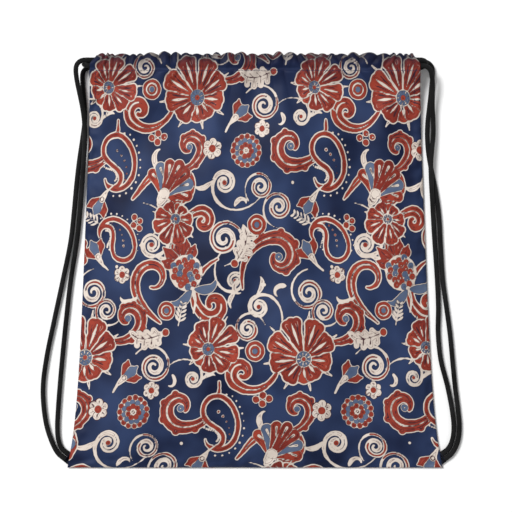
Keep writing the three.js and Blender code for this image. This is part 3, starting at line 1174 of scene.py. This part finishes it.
def bud(b):
    for heading, colour in ((128, "red"), (52, "red"), (90, "slate")):
        tip = towards(heading) * 18
        b.stroke(colour, [(0, 0), tip * 0.6, tip], [2.2, 4.8, 0.6], 1.6, 0.6)
    b.stroke("cream", [(0, 0), (0.8, -10), (4, -18)], [3.8, 1.4, 0.9])
    b.ink(ring(b.at, (0, 0), 2.2, 0.42))


def comma(b):
    line = sweep((-4, -5), 70, 17, -2.0, -17.0, 12)
    b.stroke("cream", line, swell(12, 0.7, 1.4, 0.6, 0.35))


def dot(b):
    b.spot("cream", (0, 0), 1.6)


# %% [markdown]
# The motifs are listed one by one on one repeat of the cloth: where, how turned, how large and
# whether mirrored. A scatter of random motifs would cross and crowd. The repeats are staggered by
# half a width from row to row, like bricks, and what comes later in the list lies on top.

# %% Layout of one repeat
repeat_width = 236
repeat_height = 262
reaches = {
    scroll_leaf: 66, ribbon: 74, blossom: 40, pomegranate: 48, paisley: 50, palmette: 50,
    acanthus: 42, shoot: 46, curl: 26, red_curl: 56, floret: 12, target: 12, scales: 22, sprig: 24,
    berries: 14, bud: 24, comma: 12, dot: 4,
}
layout = [
    (ribbon, (24, 34), 10, 1.0, False),
    (ribbon, (112, 186), 100, 0.9, False),
    (shoot, (84, 26), 18, 1.1, False),
    (shoot, (122, 226), 140, 1.1, False),
    (shoot, (4, 164), 75, 1.0, True),
    (shoot, (214, 190), 250, 0.9, True),
    (red_curl, (190, 166), 30, 0.95, True),
    (red_curl, (222, 98), 250, 0.9, False),
    (curl, (128, 104), 40, 1.1, False),
    (curl, (202, 232), 200, 1.25, True),
    (curl, (124, 22), 120, 0.9, False),
    (curl, (228, 142), 300, 0.9, True),
    (curl, (58, 178), 20, 1.1, True),
    (curl, (144, 2), 160, 1.0, False),
    (curl, (74, 160), 250, 0.9, False),
    (scroll_leaf, (44, 62), 80, 0.8, True),
    (red_curl, (178, 250), 120, 0.75, False),
    (shoot, (170, 92), 200, 0.8, False),
    (scroll_leaf, (158, 62), -20, 1.0, False),
    (scroll_leaf, (26, 214), 165, 1.05, False),
    (scroll_leaf, (98, 152), 70, 0.85, True),
    (paisley, (206, 48), 200, 1.05, False),
    (paisley, (88, 236), 30, 0.9, True),
    (acanthus, (122, 130), 115, 0.8, False),
    (acanthus, (226, 222), -40, 0.8, True),
    (palmette, (20, 20), -30, 1.0, False),
    (blossom, (52, 112), 20, 1.2, False),
    (pomegranate, (160, 200), 24, 1.0, False),
    (scales, (108, 58), 10, 0.9, False),
    (blossom, (186, 122), -60, 0.95, True),
    (blossom, (148, 252), 150, 0.75, True),
    (target, (140, 160), 0, 1.0, False),
    (target, (2, 246), 0, 1.1, False),
    (floret, (70, 60), 10, 1.1, False),
    (floret, (90, 196), 20, 0.9, False),
    (berries, (8, 76), 200, 1.1, False),
    (bud, (96, 92), -50, 1.0, False),
    (bud, (182, 10), 150, 1.0, True),
    (sprig, (156, 156), -15, 0.8, False),
    (sprig, (54, 252), 60, 0.8, False),
    (comma, (100, 8), 0, 1.1, False),
    (comma, (214, 184), 120, 1.1, True),
    (comma, (150, 90), 240, 1.0, False),
    (target, (0, 120), 0, 1.1, False),
    (bud, (62, 214), 30, 1.0, False),
    (berries, (108, 250), 100, 1.0, True),
    (floret, (126, 80), 15, 0.9, False),
    (comma, (26, 184), 60, 1.2, True),
    (dot, (84, 204), 0, 1.0, False),
    (dot, (10, 186), 0, 1.1, False),
    (dot, (160, 26), 0, 1.0, False),
]
print(len(layout), "motifs on a repeat of", repeat_width, "x", repeat_height, "mm")

# %% Print any part of the cloth
cloth_margin = 70


def repeats(low, high, length):
    return range(math.floor(low / length) - 1, math.ceil(high / length) + 1)


def print_cloth(u, v):
    cloth = Cloth(u, v)
    low = cloth.at.min(0) - cloth_margin
    high = cloth.at.max(0) + cloth_margin
    for motif, (x, y), turn, size, mirror in layout:
        for row in repeats(low[1], high[1], repeat_height):
            for column in repeats(low[0], high[0], repeat_width):
                shift = repeat_width * (column + 0.5 * (row % 2))
                centre = np.array([x + shift, y + repeat_height * row])
                if np.all(centre > low) and np.all(centre < high):
                    cloth.stamp(motif, centre, turn, size, mirror)
    return cloth


sample_step = 8.0
across, up = (np.arange(0, length, sample_step) for length in (repeat_width, repeat_height))
printed = print_cloth(*np.meshgrid(across, up)).fields["cream"] < 0
print("printed over the navy:", round(100 * float(np.mean(printed))), "% of a repeat")

# %% [markdown]
# The cloth is thin woven polyester with a matt face. Its print is dyed in, so it doesn't shine,
# and one material carries the whole pattern. It reads the distances that are stored on the mesh,
# a painted shade for the gathers and the folded tops of the casings, and noises of several sizes.
# Ink creeps a little along the threads, so two of the noises move the edges in and out. The weave's
# threads are a third of a millimetre apart, too fine to show, so a bump of 0.7 mm stands in for them.

# %% Printed polyester: what the shader reads
weave_mm = 0.7
noise_sizes_mm = (5, 7, 8, 9, 13, 14, 20, 55, weave_mm)
creep_fine = 1.1
creep_slow = 1.5

print_material, print_surface = new_material("printed_polyester", {
    "Roughness": 0.6, "IOR": 1.5, "Specular IOR Level": 0.14,
    "Sheen Weight": 0.02, "Sheen Roughness": 0.5,
})
print_tree = print_material.node_tree
place = add_node(print_tree, "ShaderNodeTexCoord").outputs["Object"]
noises = {}
for feature_mm in noise_sizes_mm:
    detail = 1.0 if feature_mm == weave_mm else 2.0
    noises[feature_mm] = add_node(
        print_tree, "ShaderNodeTexNoise",
        {"Vector": place, "Scale": 1 / (feature_mm * MM), "Detail": detail},
    ).outputs["Fac"]
stored = {}
for name in (*colours, "tone", "painted_shade"):
    stored[name] = add_node(
        print_tree, "ShaderNodeAttribute", attribute_name=f"print_{name}",
    ).outputs["Fac"]

creep = -(creep_fine + creep_slow) / 2
for feature_mm, strength in ((5, creep_fine), (13, creep_slow)):
    creep = add_node(
        print_tree, "ShaderNodeMath", {0: noises[feature_mm], 1: strength, 2: creep},
        operation="MULTIPLY_ADD",
    ).outputs[0]
edges = {}
for name in colours:
    edges[name] = add_node(
        print_tree, "ShaderNodeMath", {0: stored[name], 1: creep}, operation="ADD",
    ).outputs[0]
print(len(print_tree.nodes), "nodes before any colour")

# %% [markdown]
# Three patterns are used again and again: the inside of a colour's shapes, a line drawn along
# their edge with gaps in it, and a colour that drifts between two, as dye does on a wide cloth.

# %% Printed polyester: patterns
edge_softness = 0.45
gap_sharpness = 14
noise_middle = 0.5
noise_spread = 0.3


def inside(name, wider=0.0):
    """1 inside a colour's shapes and 0 outside, with a narrow soft step at their edge."""
    return add_node(
        print_tree, "ShaderNodeMath",
        {0: edges[name], 1: -1 / edge_softness, 2: 0.5 + wider / edge_softness},
        operation="MULTIPLY_ADD", use_clamp=True,
    ).outputs[0]


def drawn_line(name, depth, half_line, gap_mm, share):
    """1 on a line that follows a colour's edge at some depth. Noise leaves a share of it."""
    shifted = add_node(
        print_tree, "ShaderNodeMath", {0: edges[name], 1: depth}, operation="ADD",
    ).outputs[0]
    away = add_node(
        print_tree, "ShaderNodeMath", {0: shifted}, operation="ABSOLUTE",
    ).outputs[0]
    line = add_node(
        print_tree, "ShaderNodeMath",
        {0: away, 1: -1 / edge_softness, 2: 0.5 + half_line / edge_softness},
        operation="MULTIPLY_ADD", use_clamp=True,
    ).outputs[0]
    least = noise_middle + noise_spread * (0.5 - share)
    kept = add_node(
        print_tree, "ShaderNodeMath", {0: noises[gap_mm], 1: gap_sharpness, 2: -gap_sharpness * least},
        operation="MULTIPLY_ADD", use_clamp=True,
    ).outputs[0]
    return add_node(
        print_tree, "ShaderNodeMath", {0: line, 1: kept}, operation="MULTIPLY",
    ).outputs[0]


def drifting(first, second, feature_mm, contrast=2.2, middle=0.5):
    """A colour between two. middle is its share of the second, a number or a stored value."""
    drift = add_node(
        print_tree, "ShaderNodeMath", {0: noises[feature_mm], 1: contrast, 2: -contrast / 2},
        operation="MULTIPLY_ADD",
    ).outputs[0]
    amount = add_node(
        print_tree, "ShaderNodeMath", {0: drift, 1: middle}, operation="ADD", use_clamp=True,
    ).outputs[0]
    return add_node(
        print_tree, "ShaderNodeMix", {0: amount, 6: linear(first), 7: linear(second)},
        data_type="RGBA",
    ).outputs[2]


# %% [markdown]
# The colours are laid over the navy one after another. Where two inks meet, a darker rim shows,
# and fine broken lines follow the edges inside the cream and the red. The creases between the
# puffs are narrower than the mesh can hold, so a painted shade that is stored in the mesh darkens
# them in the colour, along with the casings towards their folded tops and the panels just below.
# The painted shade is laid over the navy by itself first, with a bluer tone, because plain
# darkening greys it, and then over all the colours last.

# %% Printed polyester: layers
weave_relief = 0.08
layers = [
    # Painted shade on the navy alone, in a deep blue.
    (stored["painted_shade"], linear("020b3c")),
    (inside("cream", 0.5), linear("17203f")),
    (inside("cream"), drifting("cabcb0", "ded2c7", 20)),
    (drawn_line("cream", 1.7, 0.15, 9, 0.75), linear("6a4a4c")),
    (inside("slate", 0.35), linear("3a3440")),
    (inside("slate"), drifting("485672", "5f6d86", 20)),
    (inside("red", 0.3), linear("562420")),
    (inside("red"), drifting("9f3f2e", "792a22", 14, 1.2, stored["tone"])),
    (drawn_line("red", 1.5, 0.25, 8, 0.75), linear("5a211d")),
    (drawn_line("red", 3.4, 0.2, 7, 0.5), linear("c9a093")),
    (inside("ink"), linear("42222a")),
    # Painted shade again, over every colour: creases, folded tops and just below the casings.
    (stored["painted_shade"], linear("080b1e")),
]
colour = drifting("0e1733", "2a395c", 55, 3.0)
for amount, above in layers:
    colour = add_node(
        print_tree, "ShaderNodeMix", {0: amount, 6: colour, 7: above}, data_type="RGBA",
    ).outputs[2]
weave = add_node(
    print_tree, "ShaderNodeBump",
    {"Height": noises[weave_mm], "Strength": 0.35, "Distance": weave_relief * MM},
)
print_tree.links.new(colour, print_surface.inputs["Base Color"])
print_tree.links.new(weave.outputs["Normal"], print_surface.inputs["Normal"])

# The unprinted back keeps the white of the yarn, and is a little duller than the printed face.
lining_material = new_material("unprinted_polyester_back", {
    "Roughness": 0.7, "Base Color": linear("ece9e6"), "Specular IOR Level": 0.25,
})[0]
print(len(layers), "layers over the navy,", len(print_tree.nodes), "nodes")

# %% [markdown]
# The cloth was printed flat and cut square, 381 mm wide, and the gathers then drew its top in. So
# the print is looked up by the share of the width that a point lies at, not by its place. The
# back of the bag is cut from another part of the same cloth.

# %% Store the print on a piece
back_shift = (95, 137)


def print_on(piece, outer, run_up, painted_shade, facing):
    """outer is the grid of printed points, and run_up is their way up along the cloth."""
    x, y = outer[..., 0], outer[..., 1]
    u = x * bottom_half_width / half_width(np.minimum(y, bag_height))
    v = run_up
    if facing < 0:
        u, v = back_shift[0] - u, back_shift[1] + v
    plain = len(piece.data.vertices) - u.size
    for name, values in print_cloth(u, v).fields.items():
        store(piece, f"print_{name}", np.concatenate([values, np.full(plain, far)]))
    # The painted shade of the creases and folded tops is stored beside the print.
    store(piece, "print_painted_shade", np.concatenate([np.ravel(painted_shade), np.zeros(plain)]))


def printed_cloth(name, facing, faces_of, *grids):
    """A panel or a casing in two halves. facing is 1 on the front of the bag and -1 behind.

    The grids are the outer and inner points, the normals of both, the way up and the painted shade.
    """
    parts = [halves(grid) for grid in grids]
    for side in sides:
        outer, inner, normals, inner_normals, run_up, painted_shade = (part[side] for part in parts)
        points = np.vstack([outer.reshape(-1, 3), inner.reshape(-1, 3)])
        directions = np.vstack([normals.reshape(-1, 3), inner_normals.reshape(-1, 3)])
        faces, kinds = faces_of(outer, inner)
        materials = [print_material, lining_material]
        piece = mesh_piece(f"{name}_{side}", points, faces, materials, kinds, directions)
        print_on(piece, outer, run_up, painted_shade, facing)
        bend_with_flank(piece)
        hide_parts(name)
        print(piece.name, len(piece.data.polygons), "faces")


# %% [markdown]
# Both panels are made alike, but the front one shows in the photograph, so its mesh is about
# twice as fine. Towards the casing the inner face keeps a little further behind, clear of the
# folds.

# %% Front and back panels
panel_overlap = 0.6
extra_behind = 0.5
extra_behind_reach = 18
panel_shade_depth = 0.16
panel_crease_shade = 0.3
panel_shade_reach = 11


def panel(name, surface_of, gathers, spacing, facing):
    outer = panel_grid(surface_of, spacing, stitch_line_y + panel_overlap)
    x, y = outer[..., 0], outer[..., 1]
    normals = grid_normals(outer) * facing
    behind = extra_behind * np.exp((y[::2, ::2] - stitch_line_y) / extra_behind_reach)
    behind = cloth_thickness + behind
    inner = outer[::2, ::2] - normals[::2, ::2] * behind[..., None]
    # Painted shade: just below the casing the panel is darkened in the colour, most in the creases
    # between the puffs, fading down the panel.
    below = np.maximum(0, stitch_line_y - y)
    painted_shade = panel_shade_depth + panel_crease_shade * (1 - puffs_below(x, below, gathers))
    painted_shade = painted_shade * np.exp(-below / panel_shade_reach)
    printed_cloth(name, facing, closed_sheet, outer, inner, normals, -normals[::2, ::2], y, painted_shade)


panel("front_panel", front_surface, front_gathers, spacing=1.09, facing=1)
panel("back_panel", back_surface, back_gathers, spacing=2.1, facing=-1)

# %% [markdown]
# ## Casings
#
# The top of each panel is turned over and sewn down to make a channel for the cords. Its walls
# puff out between the creases of the gathers, and its folded top edge is scalloped by them. The
# back casing stands a little higher, so a strip of it shows behind the front one. A plain tube
# with a bump would have a straight top edge, so each ring of the tube is shaped point by point.

# %% Outline of a casing
casing_squareness = 0.88
casing_spacing = 0.9
casing_ring = 40
casing_base = 401.3
crease_lean = 0.35
crease_lean_wavelength = 60
scallop_height = 5


def rounded(value):
    return np.sign(value) * np.abs(value) ** casing_squareness


def casing_outline(gathers, top_low, top_rise, seed):
    """Where the skin lies in the flat, how far out of it, and how full its puffs are."""
    count = 2 * math.ceil(mouth_half_width / casing_spacing)
    x = np.linspace(-mouth_half_width, mouth_half_width, count + 1)[None, :]
    angle = np.linspace(0, 2 * math.pi, casing_ring, endpoint=False)[:, None]
    height, depth = -rounded(np.cos(angle)), rounded(np.sin(angle))
    lean = crease_lean * ripples(x, 0 * x, crease_lean_wavelength, seed)
    top = top_low + top_rise * puffs(x + scallop_height * lean, gathers)
    reach = np.where(height > 0, top - casing_middle, casing_middle - casing_base)
    y = casing_middle + reach * height
    return x, y, depth, puffs(x + lean * (y - casing_middle), gathers)


x, y = casing_outline(front_gathers, 415.8, 5.0, 61)[:2]
print(x.size, "rings of", casing_ring, "points, with puffs up to", round(float(y.max()), 1), "mm")

# %% [markdown]
# The walls are thin at the row of stitches and full round the cords, and the outer wall puffs more
# than the inner one. At the ends the upper edge is pulled in, as the cords hold it there.

# %% Skins of a casing
half_thickness = 3.5
outer_puff = 2.9
inner_puff = 1.5
puff_rise = 7
thin_share = 0.45
thin_rise = 3.2
crinkle_height = 0.15
crinkle_wavelength = 5.5
crinkle_stretch = 2.5
end_pull = 7.0
end_pull_from_x = 138
end_pull_from_y = 406
end_pull_rise = 12
seam_shift_rise = 3
mean_half_thickness = 3.6
mean_half_height = 8


def pulled_in(x, y):
    near_end = smooth((np.abs(x) - end_pull_from_x) / (mouth_half_width - end_pull_from_x))
    return x - np.sign(x) * (end_pull * smooth((y - end_pull_from_y) / end_pull_rise) * near_end)


def casing_skins(x, y, depth, puff, centre_z, floor_z, seed, facing):
    up = y - casing_base
    outwards = depth * facing > 0
    crinkle = crinkle_height * ripples(x, y, crinkle_wavelength, seed, crinkle_stretch)
    thin = np.where(outwards, clamp01(thin_share + (1 - thin_share) * up / thin_rise), 1)
    puffed = np.where(outwards, outer_puff, inner_puff) * puff * smooth(up / puff_rise)
    thick = (half_thickness + crinkle) * thin + puffed
    middle_z = centre_z + facing * seam_shift * (1 - smooth(up / seam_shift_rise))
    inner_y = casing_middle + (y - casing_middle) * (1 - cloth_thickness / mean_half_height)
    inner_share = 1 - cloth_thickness / mean_half_thickness
    skins = []
    for skin_y, share, lowest in ((y, 1, floor_z), (inner_y, inner_share, floor_z + cloth_thickness)):
        z = np.maximum(middle_z + thick * depth * share, lowest)
        skins.append(np.stack(np.broadcast_arrays(pulled_in(x, y), skin_y, z), -1))
    return skins


top_end = float(pulled_in(mouth_half_width, end_pull_from_y + end_pull_rise))
print("a casing's upper corners are pulled in by", round(mouth_half_width - top_end, 1), "mm")

# %% Faces of a channel
def ring_normals(points):
    wrapped = np.concatenate([points[-1:], points, points[:1]])
    return grid_normals(wrapped)[1:-1]


def skin_quads(grid):
    after = np.roll(grid, -1, axis=0)
    return np.stack([grid[:, :-1], grid[:, 1:], after[:, 1:], after[:, :-1]], -1).reshape(-1, 4)


def end_quads(outside, within):
    return np.stack([outside, np.roll(outside, -1), np.roll(within, -1), within], -1)


def closed_channel(outer, inner):
    """Faces of a tube with a wall: its two skins, and the cut edge of the wall at both ends."""
    at = numbered(outer)
    under = numbered(inner, at.size)
    back = skin_quads(under)[:, ::-1]
    ends = [end_quads(at[:, 0], under[:, 0]), end_quads(at[:, -1], under[:, -1])[:, ::-1]]
    faces = np.vstack([skin_quads(at), *ends, back])
    kinds = np.zeros(len(faces), np.int32)
    kinds[-len(back):] = 1
    return faces.tolist(), kinds


print("a tube of 3 rings of 4 points has", len(closed_channel(*np.zeros((2, 4, 3, 3)))[0]), "faces")

# %% [markdown]
# The print runs on from the panel over the outer wall, so its way up the cloth is measured along
# the ring, from the row of stitches. The folded edge and the creases get their painted shade here
# too: the colour is darkened towards the top and between the puffs.

# %% Gathered casings
casing_shade_depth = 0.16
top_shade = 0.5
top_shade_from = 403
top_shade_rise = 13
casing_crease_shade = 0.28
crease_shade_rise = 5


def casing(name, centre_z, gathers, top_low, top_rise, floor_z, seed, facing):
    x, y, depth, puff = casing_outline(gathers, top_low, top_rise, seed)
    outer, inner = casing_skins(x, y, depth, puff, centre_z, floor_z, seed + 1, facing)
    normals = ring_normals(outer)
    girth = distances_along(outer[:, :, 1:].mean(1)[::facing])[::facing]
    run_up = np.broadcast_to(casing_base + girth[:, None], outer.shape[:2])
    # Painted shade: the casing is darkened a little all over, more towards its folded top edge and in the
    # creases between the puffs.
    painted_shade = casing_shade_depth + top_shade * smooth((y - top_shade_from) / top_shade_rise)
    painted_crease_shade = casing_crease_shade * (1 - puff)
    painted_shade = painted_shade + painted_crease_shade * smooth((y - casing_base) / crease_shade_rise)
    printed_cloth(name, facing, closed_channel, outer, inner, normals, -normals, run_up, painted_shade)


casing(
    "front_casing", front_casing_z, front_gathers,
    top_low=415.8, top_rise=5.0, floor_z=-1, seed=61, facing=1,
)
casing(
    "back_casing", back_casing_z, back_gathers,
    top_low=416.0, top_rise=5.8, floor_z=0.05, seed=71, facing=-1,
)

# %% [markdown]
# ## Seams
#
# Inside the bag the panels' allowances lie along the seams as narrow strips on the back panel.
# They show where the mouth or a slit lets one look in. They are closed sheets on the back panel's
# own surface, so they follow its shape.

# %% Allowances
allowance_width = 8.2
edge_inset = 0.8
allowance_thickness = 1.0
allowance_lift = 0.65
side_seam_rows = (23.9, slit_base)
bottom_seam_reach = 178.5
bottom_allowance_width = 8
bottom_cut_y = edge_inset + bottom_allowance_width
strip_step = 2.0
points_across = 5
strip_wave = 0.12
strip_wavelength = 16


def strip_top(x, y):
    return back_surface(x, y) + cloth_thickness + allowance_lift + allowance_thickness


def strip(name, x, y, node):
    z = strip_top(x, y) + strip_wave * ripples(x, y, strip_wavelength, seed=81)
    outer = np.stack([x, y, z], -1)
    inner = outer[::2, ::2] - (0, 0, allowance_thickness)
    points = np.vstack([outer.reshape(-1, 3), inner.reshape(-1, 3)])
    piece = mesh_piece(name, points, closed_sheet(outer, inner)[0], [lining_material])
    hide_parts(node)
    print(name, len(piece.data.polygons), "faces")
    return piece


def odd_steps(low, high):
    return np.linspace(low, high, 2 * math.ceil((high - low) / strip_step / 2) + 1)


def side_strip_places(side):
    y = odd_steps(*side_seam_rows)[:, None]
    inward = np.linspace(edge_inset + allowance_width, edge_inset, points_across)[None, :]
    return sides[side] * (half_width(y) - inward), np.broadcast_to(y, (len(y), points_across))


for side in sides:
    x, y = side_strip_places(side)
    bend_with_flank(strip(f"{side}_side_allowance", x, y, f"{side}_side_seam"))

x = odd_steps(-bottom_seam_reach, bottom_seam_reach)[None, :]
y = np.linspace(edge_inset, bottom_cut_y, points_across)[:, None]
bottom_strip = strip("bottom_allowance", *np.broadcast_arrays(x, y), "bottom_seam")
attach(bottom_strip, "root")

# %% [markdown]
# ## Stitching
#
# Thread is made with Geometry Nodes, because it repeats along a path and the same tree serves
# every row. One tree sets a stitch at even steps along a path, each a small spindle that dips into
# the cloth at both ends. The other tree sweeps a round thread along a path, which suits the
# zigzags of the overlocked edges and of the bar tacks.

# %% Start and finish a tree
def new_tree(name, sizes):
    tree = bpy.data.node_groups.new(name, "GeometryNodeTree")
    tree.interface.new_socket("Path", in_out="INPUT", socket_type="NodeSocketGeometry")
    for size in sizes:
        tree.interface.new_socket(size, in_out="INPUT", socket_type="NodeSocketFloat")
    tree.interface.new_socket("Material", in_out="INPUT", socket_type="NodeSocketMaterial")
    tree.interface.new_socket("Thread", in_out="OUTPUT", socket_type="NodeSocketGeometry")
    given = add_node(tree, "NodeGroupInput").outputs
    curve = add_node(tree, "GeometryNodeMeshToCurve", {"Mesh": given["Path"]}).outputs["Curve"]
    return tree, given, curve


def finish_tree(tree, geometry, material):
    real = add_node(tree, "GeometryNodeRealizeInstances", {"Geometry": geometry})
    painted = add_node(
        tree, "GeometryNodeSetMaterial",
        {"Geometry": real.outputs["Geometry"], "Material": material},
    )
    add_node(tree, "NodeGroupOutput", {"Thread": painted.outputs["Geometry"]})
    print("tree", tree.name, "with", len(tree.nodes), "nodes")


# %% Tree of stitches
stitches_along, given, curve = new_tree(
    "stitches_along_a_path", ("Spacing", "Stitch length", "Thickness"),
)
places = add_node(
    stitches_along, "GeometryNodeCurveToPoints", {"Curve": curve, "Length": given["Spacing"]},
    mode="LENGTH",
).outputs
spindle = add_node(
    stitches_along, "GeometryNodeMeshUVSphere", {"Segments": 8, "Rings": 7, "Radius": 0.5},
)
size = add_node(
    stitches_along, "ShaderNodeCombineXYZ",
    {"X": given["Thickness"], "Y": given["Thickness"], "Z": given["Stitch length"]},
)
stitches = add_node(
    stitches_along, "GeometryNodeInstanceOnPoints",
    {
        "Points": places["Points"], "Rotation": places["Rotation"],
        "Instance": spindle.outputs["Mesh"], "Scale": size.outputs["Vector"],
    },
)
finish_tree(stitches_along, stitches.outputs["Instances"], given["Material"])

# %% Tree of thread
thread_along, given, curve = new_tree("thread_along_a_path", ("Thickness",))
half = add_node(
    thread_along, "ShaderNodeMath", {0: given["Thickness"], 1: 0.5}, operation="MULTIPLY",
)
section = add_node(
    thread_along, "GeometryNodeCurvePrimitiveCircle", {"Resolution": 6, "Radius": half.outputs[0]},
)
thread = add_node(
    thread_along, "GeometryNodeCurveToMesh",
    {"Curve": curve, "Profile Curve": section.outputs["Curve"], "Fill Caps": True},
)
finish_tree(thread_along, thread.outputs["Mesh"], given["Material"])

# %% [markdown]
# A path is a row of points joined by edges. The tree runs on it as a modifier, and its result is
# turned into a plain mesh. Sewing thread is twisted polyester, dyed to go with the cloth.

# %% Run a tree along paths
# Twisted thread is smoother than a braid, so its lines stand out a little less matt than the cords.
thread_material = new_material("twisted_polyester_thread", {
    "Roughness": 0.7, "Base Color": linear("1b2544"), "Specular IOR Level": 0.2,
})[0]


def sewn(name, tree, paths, sizes):
    """A mesh piece from a tree that runs along paths, each an array of points in millimetres."""
    points = np.vstack(paths) - (0, bag_height / 2, 0)
    ends = np.cumsum([len(path) for path in paths])
    edges = [(i, i + 1) for i in range(len(points) - 1) if i + 1 not in ends]
    mesh = bpy.data.meshes.new(name)
    mesh.from_pydata((points * MM).tolist(), edges, [])
    path = bpy.data.objects.new(f"{name}_path", mesh)
    bpy.context.scene.collection.objects.link(path)
    modifier = path.modifiers.new("thread", "NODES")
    modifier.node_group = tree
    for item in tree.interface.items_tree:
        if item.name in sizes:
            modifier[item.identifier] = sizes[item.name] * MM
        if item.name == "Material":
            modifier[item.identifier] = thread_material
    result = path.evaluated_get(bpy.context.evaluated_depsgraph_get())
    threads = bpy.data.meshes.new_from_object(result)
    bpy.data.objects.remove(path)
    threads.shade_smooth()
    piece = bpy.data.objects.new(name, threads)
    bpy.context.scene.collection.objects.link(piece)
    print(name, len(threads.polygons), "faces")
    return piece


# %% [markdown]
# A row of stitches holds each casing closed, one more runs down each hemmed edge of the slits, and
# a bar tack ends the side seam where the slit begins.

# %% Casing rows, slit hems and slit tacks
casing_row_y = 400.4
row_from_middle = 0.8
row_from_side = 1
hem_inset = 6.5
hem_drop = 3
path_step = 1.0
thread_lift = 0.12
stitch_sizes = {"Spacing": 3.0, "Stitch length": 2.7, "Thickness": 0.5}
slit_tack_passes = 26
slit_tack_rows = (0.9, 2.6)
slit_tack_drop = 2
slit_tack_inset = 0.6
slit_tack_width = 5.5
slit_tack_sizes = {"Thickness": 0.35}


def on_cloth(x, y, surface_of, facing):
    x, y = np.broadcast_arrays(np.asarray(x, float), np.asarray(y, float))
    return np.column_stack([x, y, surface_of(x, y) + facing * thread_lift])


def zigzag(low, high, count):
    """Shares that go from low to high and back, count times, and how far each one has got."""
    return np.where(np.arange(count) % 2 == 0, low, high), np.linspace(0, 1, count)


for face, surface_of, facing in (("front", front_surface, 1), ("back", back_surface, -1)):
    for side, sign in sides.items():
        across = np.arange(row_from_middle, half_width(casing_row_y) - row_from_side, path_step)
        row = on_cloth(sign * across, casing_row_y, surface_of, facing)
        down = np.arange(casing_row_y - hem_drop, slit_base - hem_drop, -path_step)
        hem = on_cloth(sign * (half_width(down) - hem_inset), down, surface_of, facing)
        rows = sewn(f"{face}_stitches_{side}", stitches_along, [row, hem], stitch_sizes)
        bend_with_flank(rows)
        above, share = zigzag(*slit_tack_rows, slit_tack_passes)
        tack_x = sign * (half_width(slit_base) - slit_tack_inset - slit_tack_width * share)
        tack = on_cloth(tack_x, slit_base - slit_tack_drop + above, surface_of, facing)
        bar = sewn(f"{face}_slit_tack_{side}", thread_along, [tack], slit_tack_sizes)
        bend_with_flank(bar)

# %% [markdown]
# The overlock thread runs round the cut edge of each allowance, across its upper face and back
# below it.

# %% Overlocked edges
overlock_pitch = 1.5
overlock_reach = 4.6
past_edge = 0.2
over_strip = 0.08
under_strip = 0.1
overlock_sizes = {"Thickness": 0.4}


def overlocked(edge_x, edge_y, inwards):
    """A path round a strip's cut edge. inwards leads from that edge onto the strip."""
    edge = np.column_stack([edge_x, edge_y, strip_top(edge_x, edge_y)])
    count = round(length_of(edge) / overlock_pitch)
    run = np.linspace(0, len(edge) - 1, 4 * count)
    at = np.column_stack([np.interp(run, np.arange(len(edge)), edge[:, k]) for k in range(3)])
    phase = np.arange(4 * count) % 4
    reach = np.choose(phase, [overlock_reach, -past_edge, -past_edge, overlock_reach])[:, None]
    drop = np.choose(phase, [0, 0, 1, 1]) * (allowance_thickness + under_strip)
    at = at + reach * np.array(inwards)
    at[:, 2] += over_strip - drop
    return at


for side, sign in sides.items():
    x, y = side_strip_places(side)
    loops = overlocked(x[:, 0], y[:, 0], (sign, 0, 0))
    bend_with_flank(sewn(f"{side}_overlock", thread_along, [loops], overlock_sizes))

x = np.arange(-bottom_seam_reach, bottom_seam_reach, strip_step)
loops = overlocked(x, np.full_like(x, bottom_cut_y), (0, -1, 0))
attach(sewn("bottom_overlock", thread_along, [loops], overlock_sizes), "root")

# %% [markdown]
# A dense bar tack crosses the cord ends where they enter each corner.

# %% Corner tacks
tack_from = 4.2
tack_length = 3.6
tack_passes = 22
tack_overhang = 0.42
over_cords = 0.35
tack_sizes = {"Thickness": 0.4}

for side, sign in sides.items():
    front_end, back_end = (np.array(route[-1]) for route in routes[side].values())
    into = np.array([-sign * math.cos(entry_angle), -math.sin(entry_angle), 0])
    across, share = zigzag(-tack_overhang, 1 + tack_overhang, tack_passes)
    points = front_end + across[:, None] * (back_end - front_end)
    points = points + (tack_from + tack_length * share)[:, None] * into
    points[:, 2] = end_z + cord_radius * (1 - end_low) + over_cords
    tack = sewn(f"{side}_corner_stitching", thread_along, [points], tack_sizes)
    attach(tack, "root")

# %% [markdown]
# ## Stage
#
# The photograph has a plain pale ground and soft light. A wide matt board makes the ground. One
# large lamp, high up and off to the upper left, and the white world together light a white sheet
# to just about white, so that each colour renders as it is written. The lamp gives the folds their
# soft shadows, and the world fills them. An image of a sky would tint them.

# %% Floor
floor_size = 40000
floor_drop = 0.4

# Matt board is rough all over, so it shows no reflection of the bag and only its soft shadow.
floor_material = new_material("matt_white_board", {
    "Roughness": 0.9, "Base Color": linear("fbfbfb"), "Specular IOR Level": 0.1,
})[0]
floor_points = [
    (x * floor_size / 2, y * floor_size / 2 + bag_height / 2, -floor_drop)
    for x, y in ((-1, -1), (1, -1), (1, 1), (-1, 1))
]
floor = mesh_piece("floor", floor_points, [(0, 1, 2, 3)], [floor_material])
print("floor", round(floor_size * MM), "m wide,", floor_drop, "mm below the bag")

# %% Lamp and world
lamp_metres = Vector((-2.3, 2.1, 4.3))
lamp_size_metres = 2.0
lamp_watts = 262
world_strength = 0.45

lamp_data = bpy.data.lights.new("soft_box_above", "AREA")
lamp_data.shape = "DISK"
lamp_data.size = lamp_size_metres
lamp_data.energy = lamp_watts
lamp = bpy.data.objects.new("soft_box_above", lamp_data)
lamp.location = lamp_metres
lamp.rotation_euler = (-lamp_metres).to_track_quat("-Z", "Y").to_euler()
bpy.context.scene.collection.objects.link(lamp)

world = bpy.data.worlds.new("studio")
world.use_nodes = True
world.node_tree.nodes["Background"].inputs["Color"].default_value = (1, 1, 1, 1)
world.node_tree.nodes["Background"].inputs["Strength"].default_value = world_strength
bpy.context.scene.world = world
bpy.context.scene.view_settings.view_transform = "Standard"
print("lamp", round(lamp_metres.length, 1), "m from the bag, at", lamp_watts, "W")
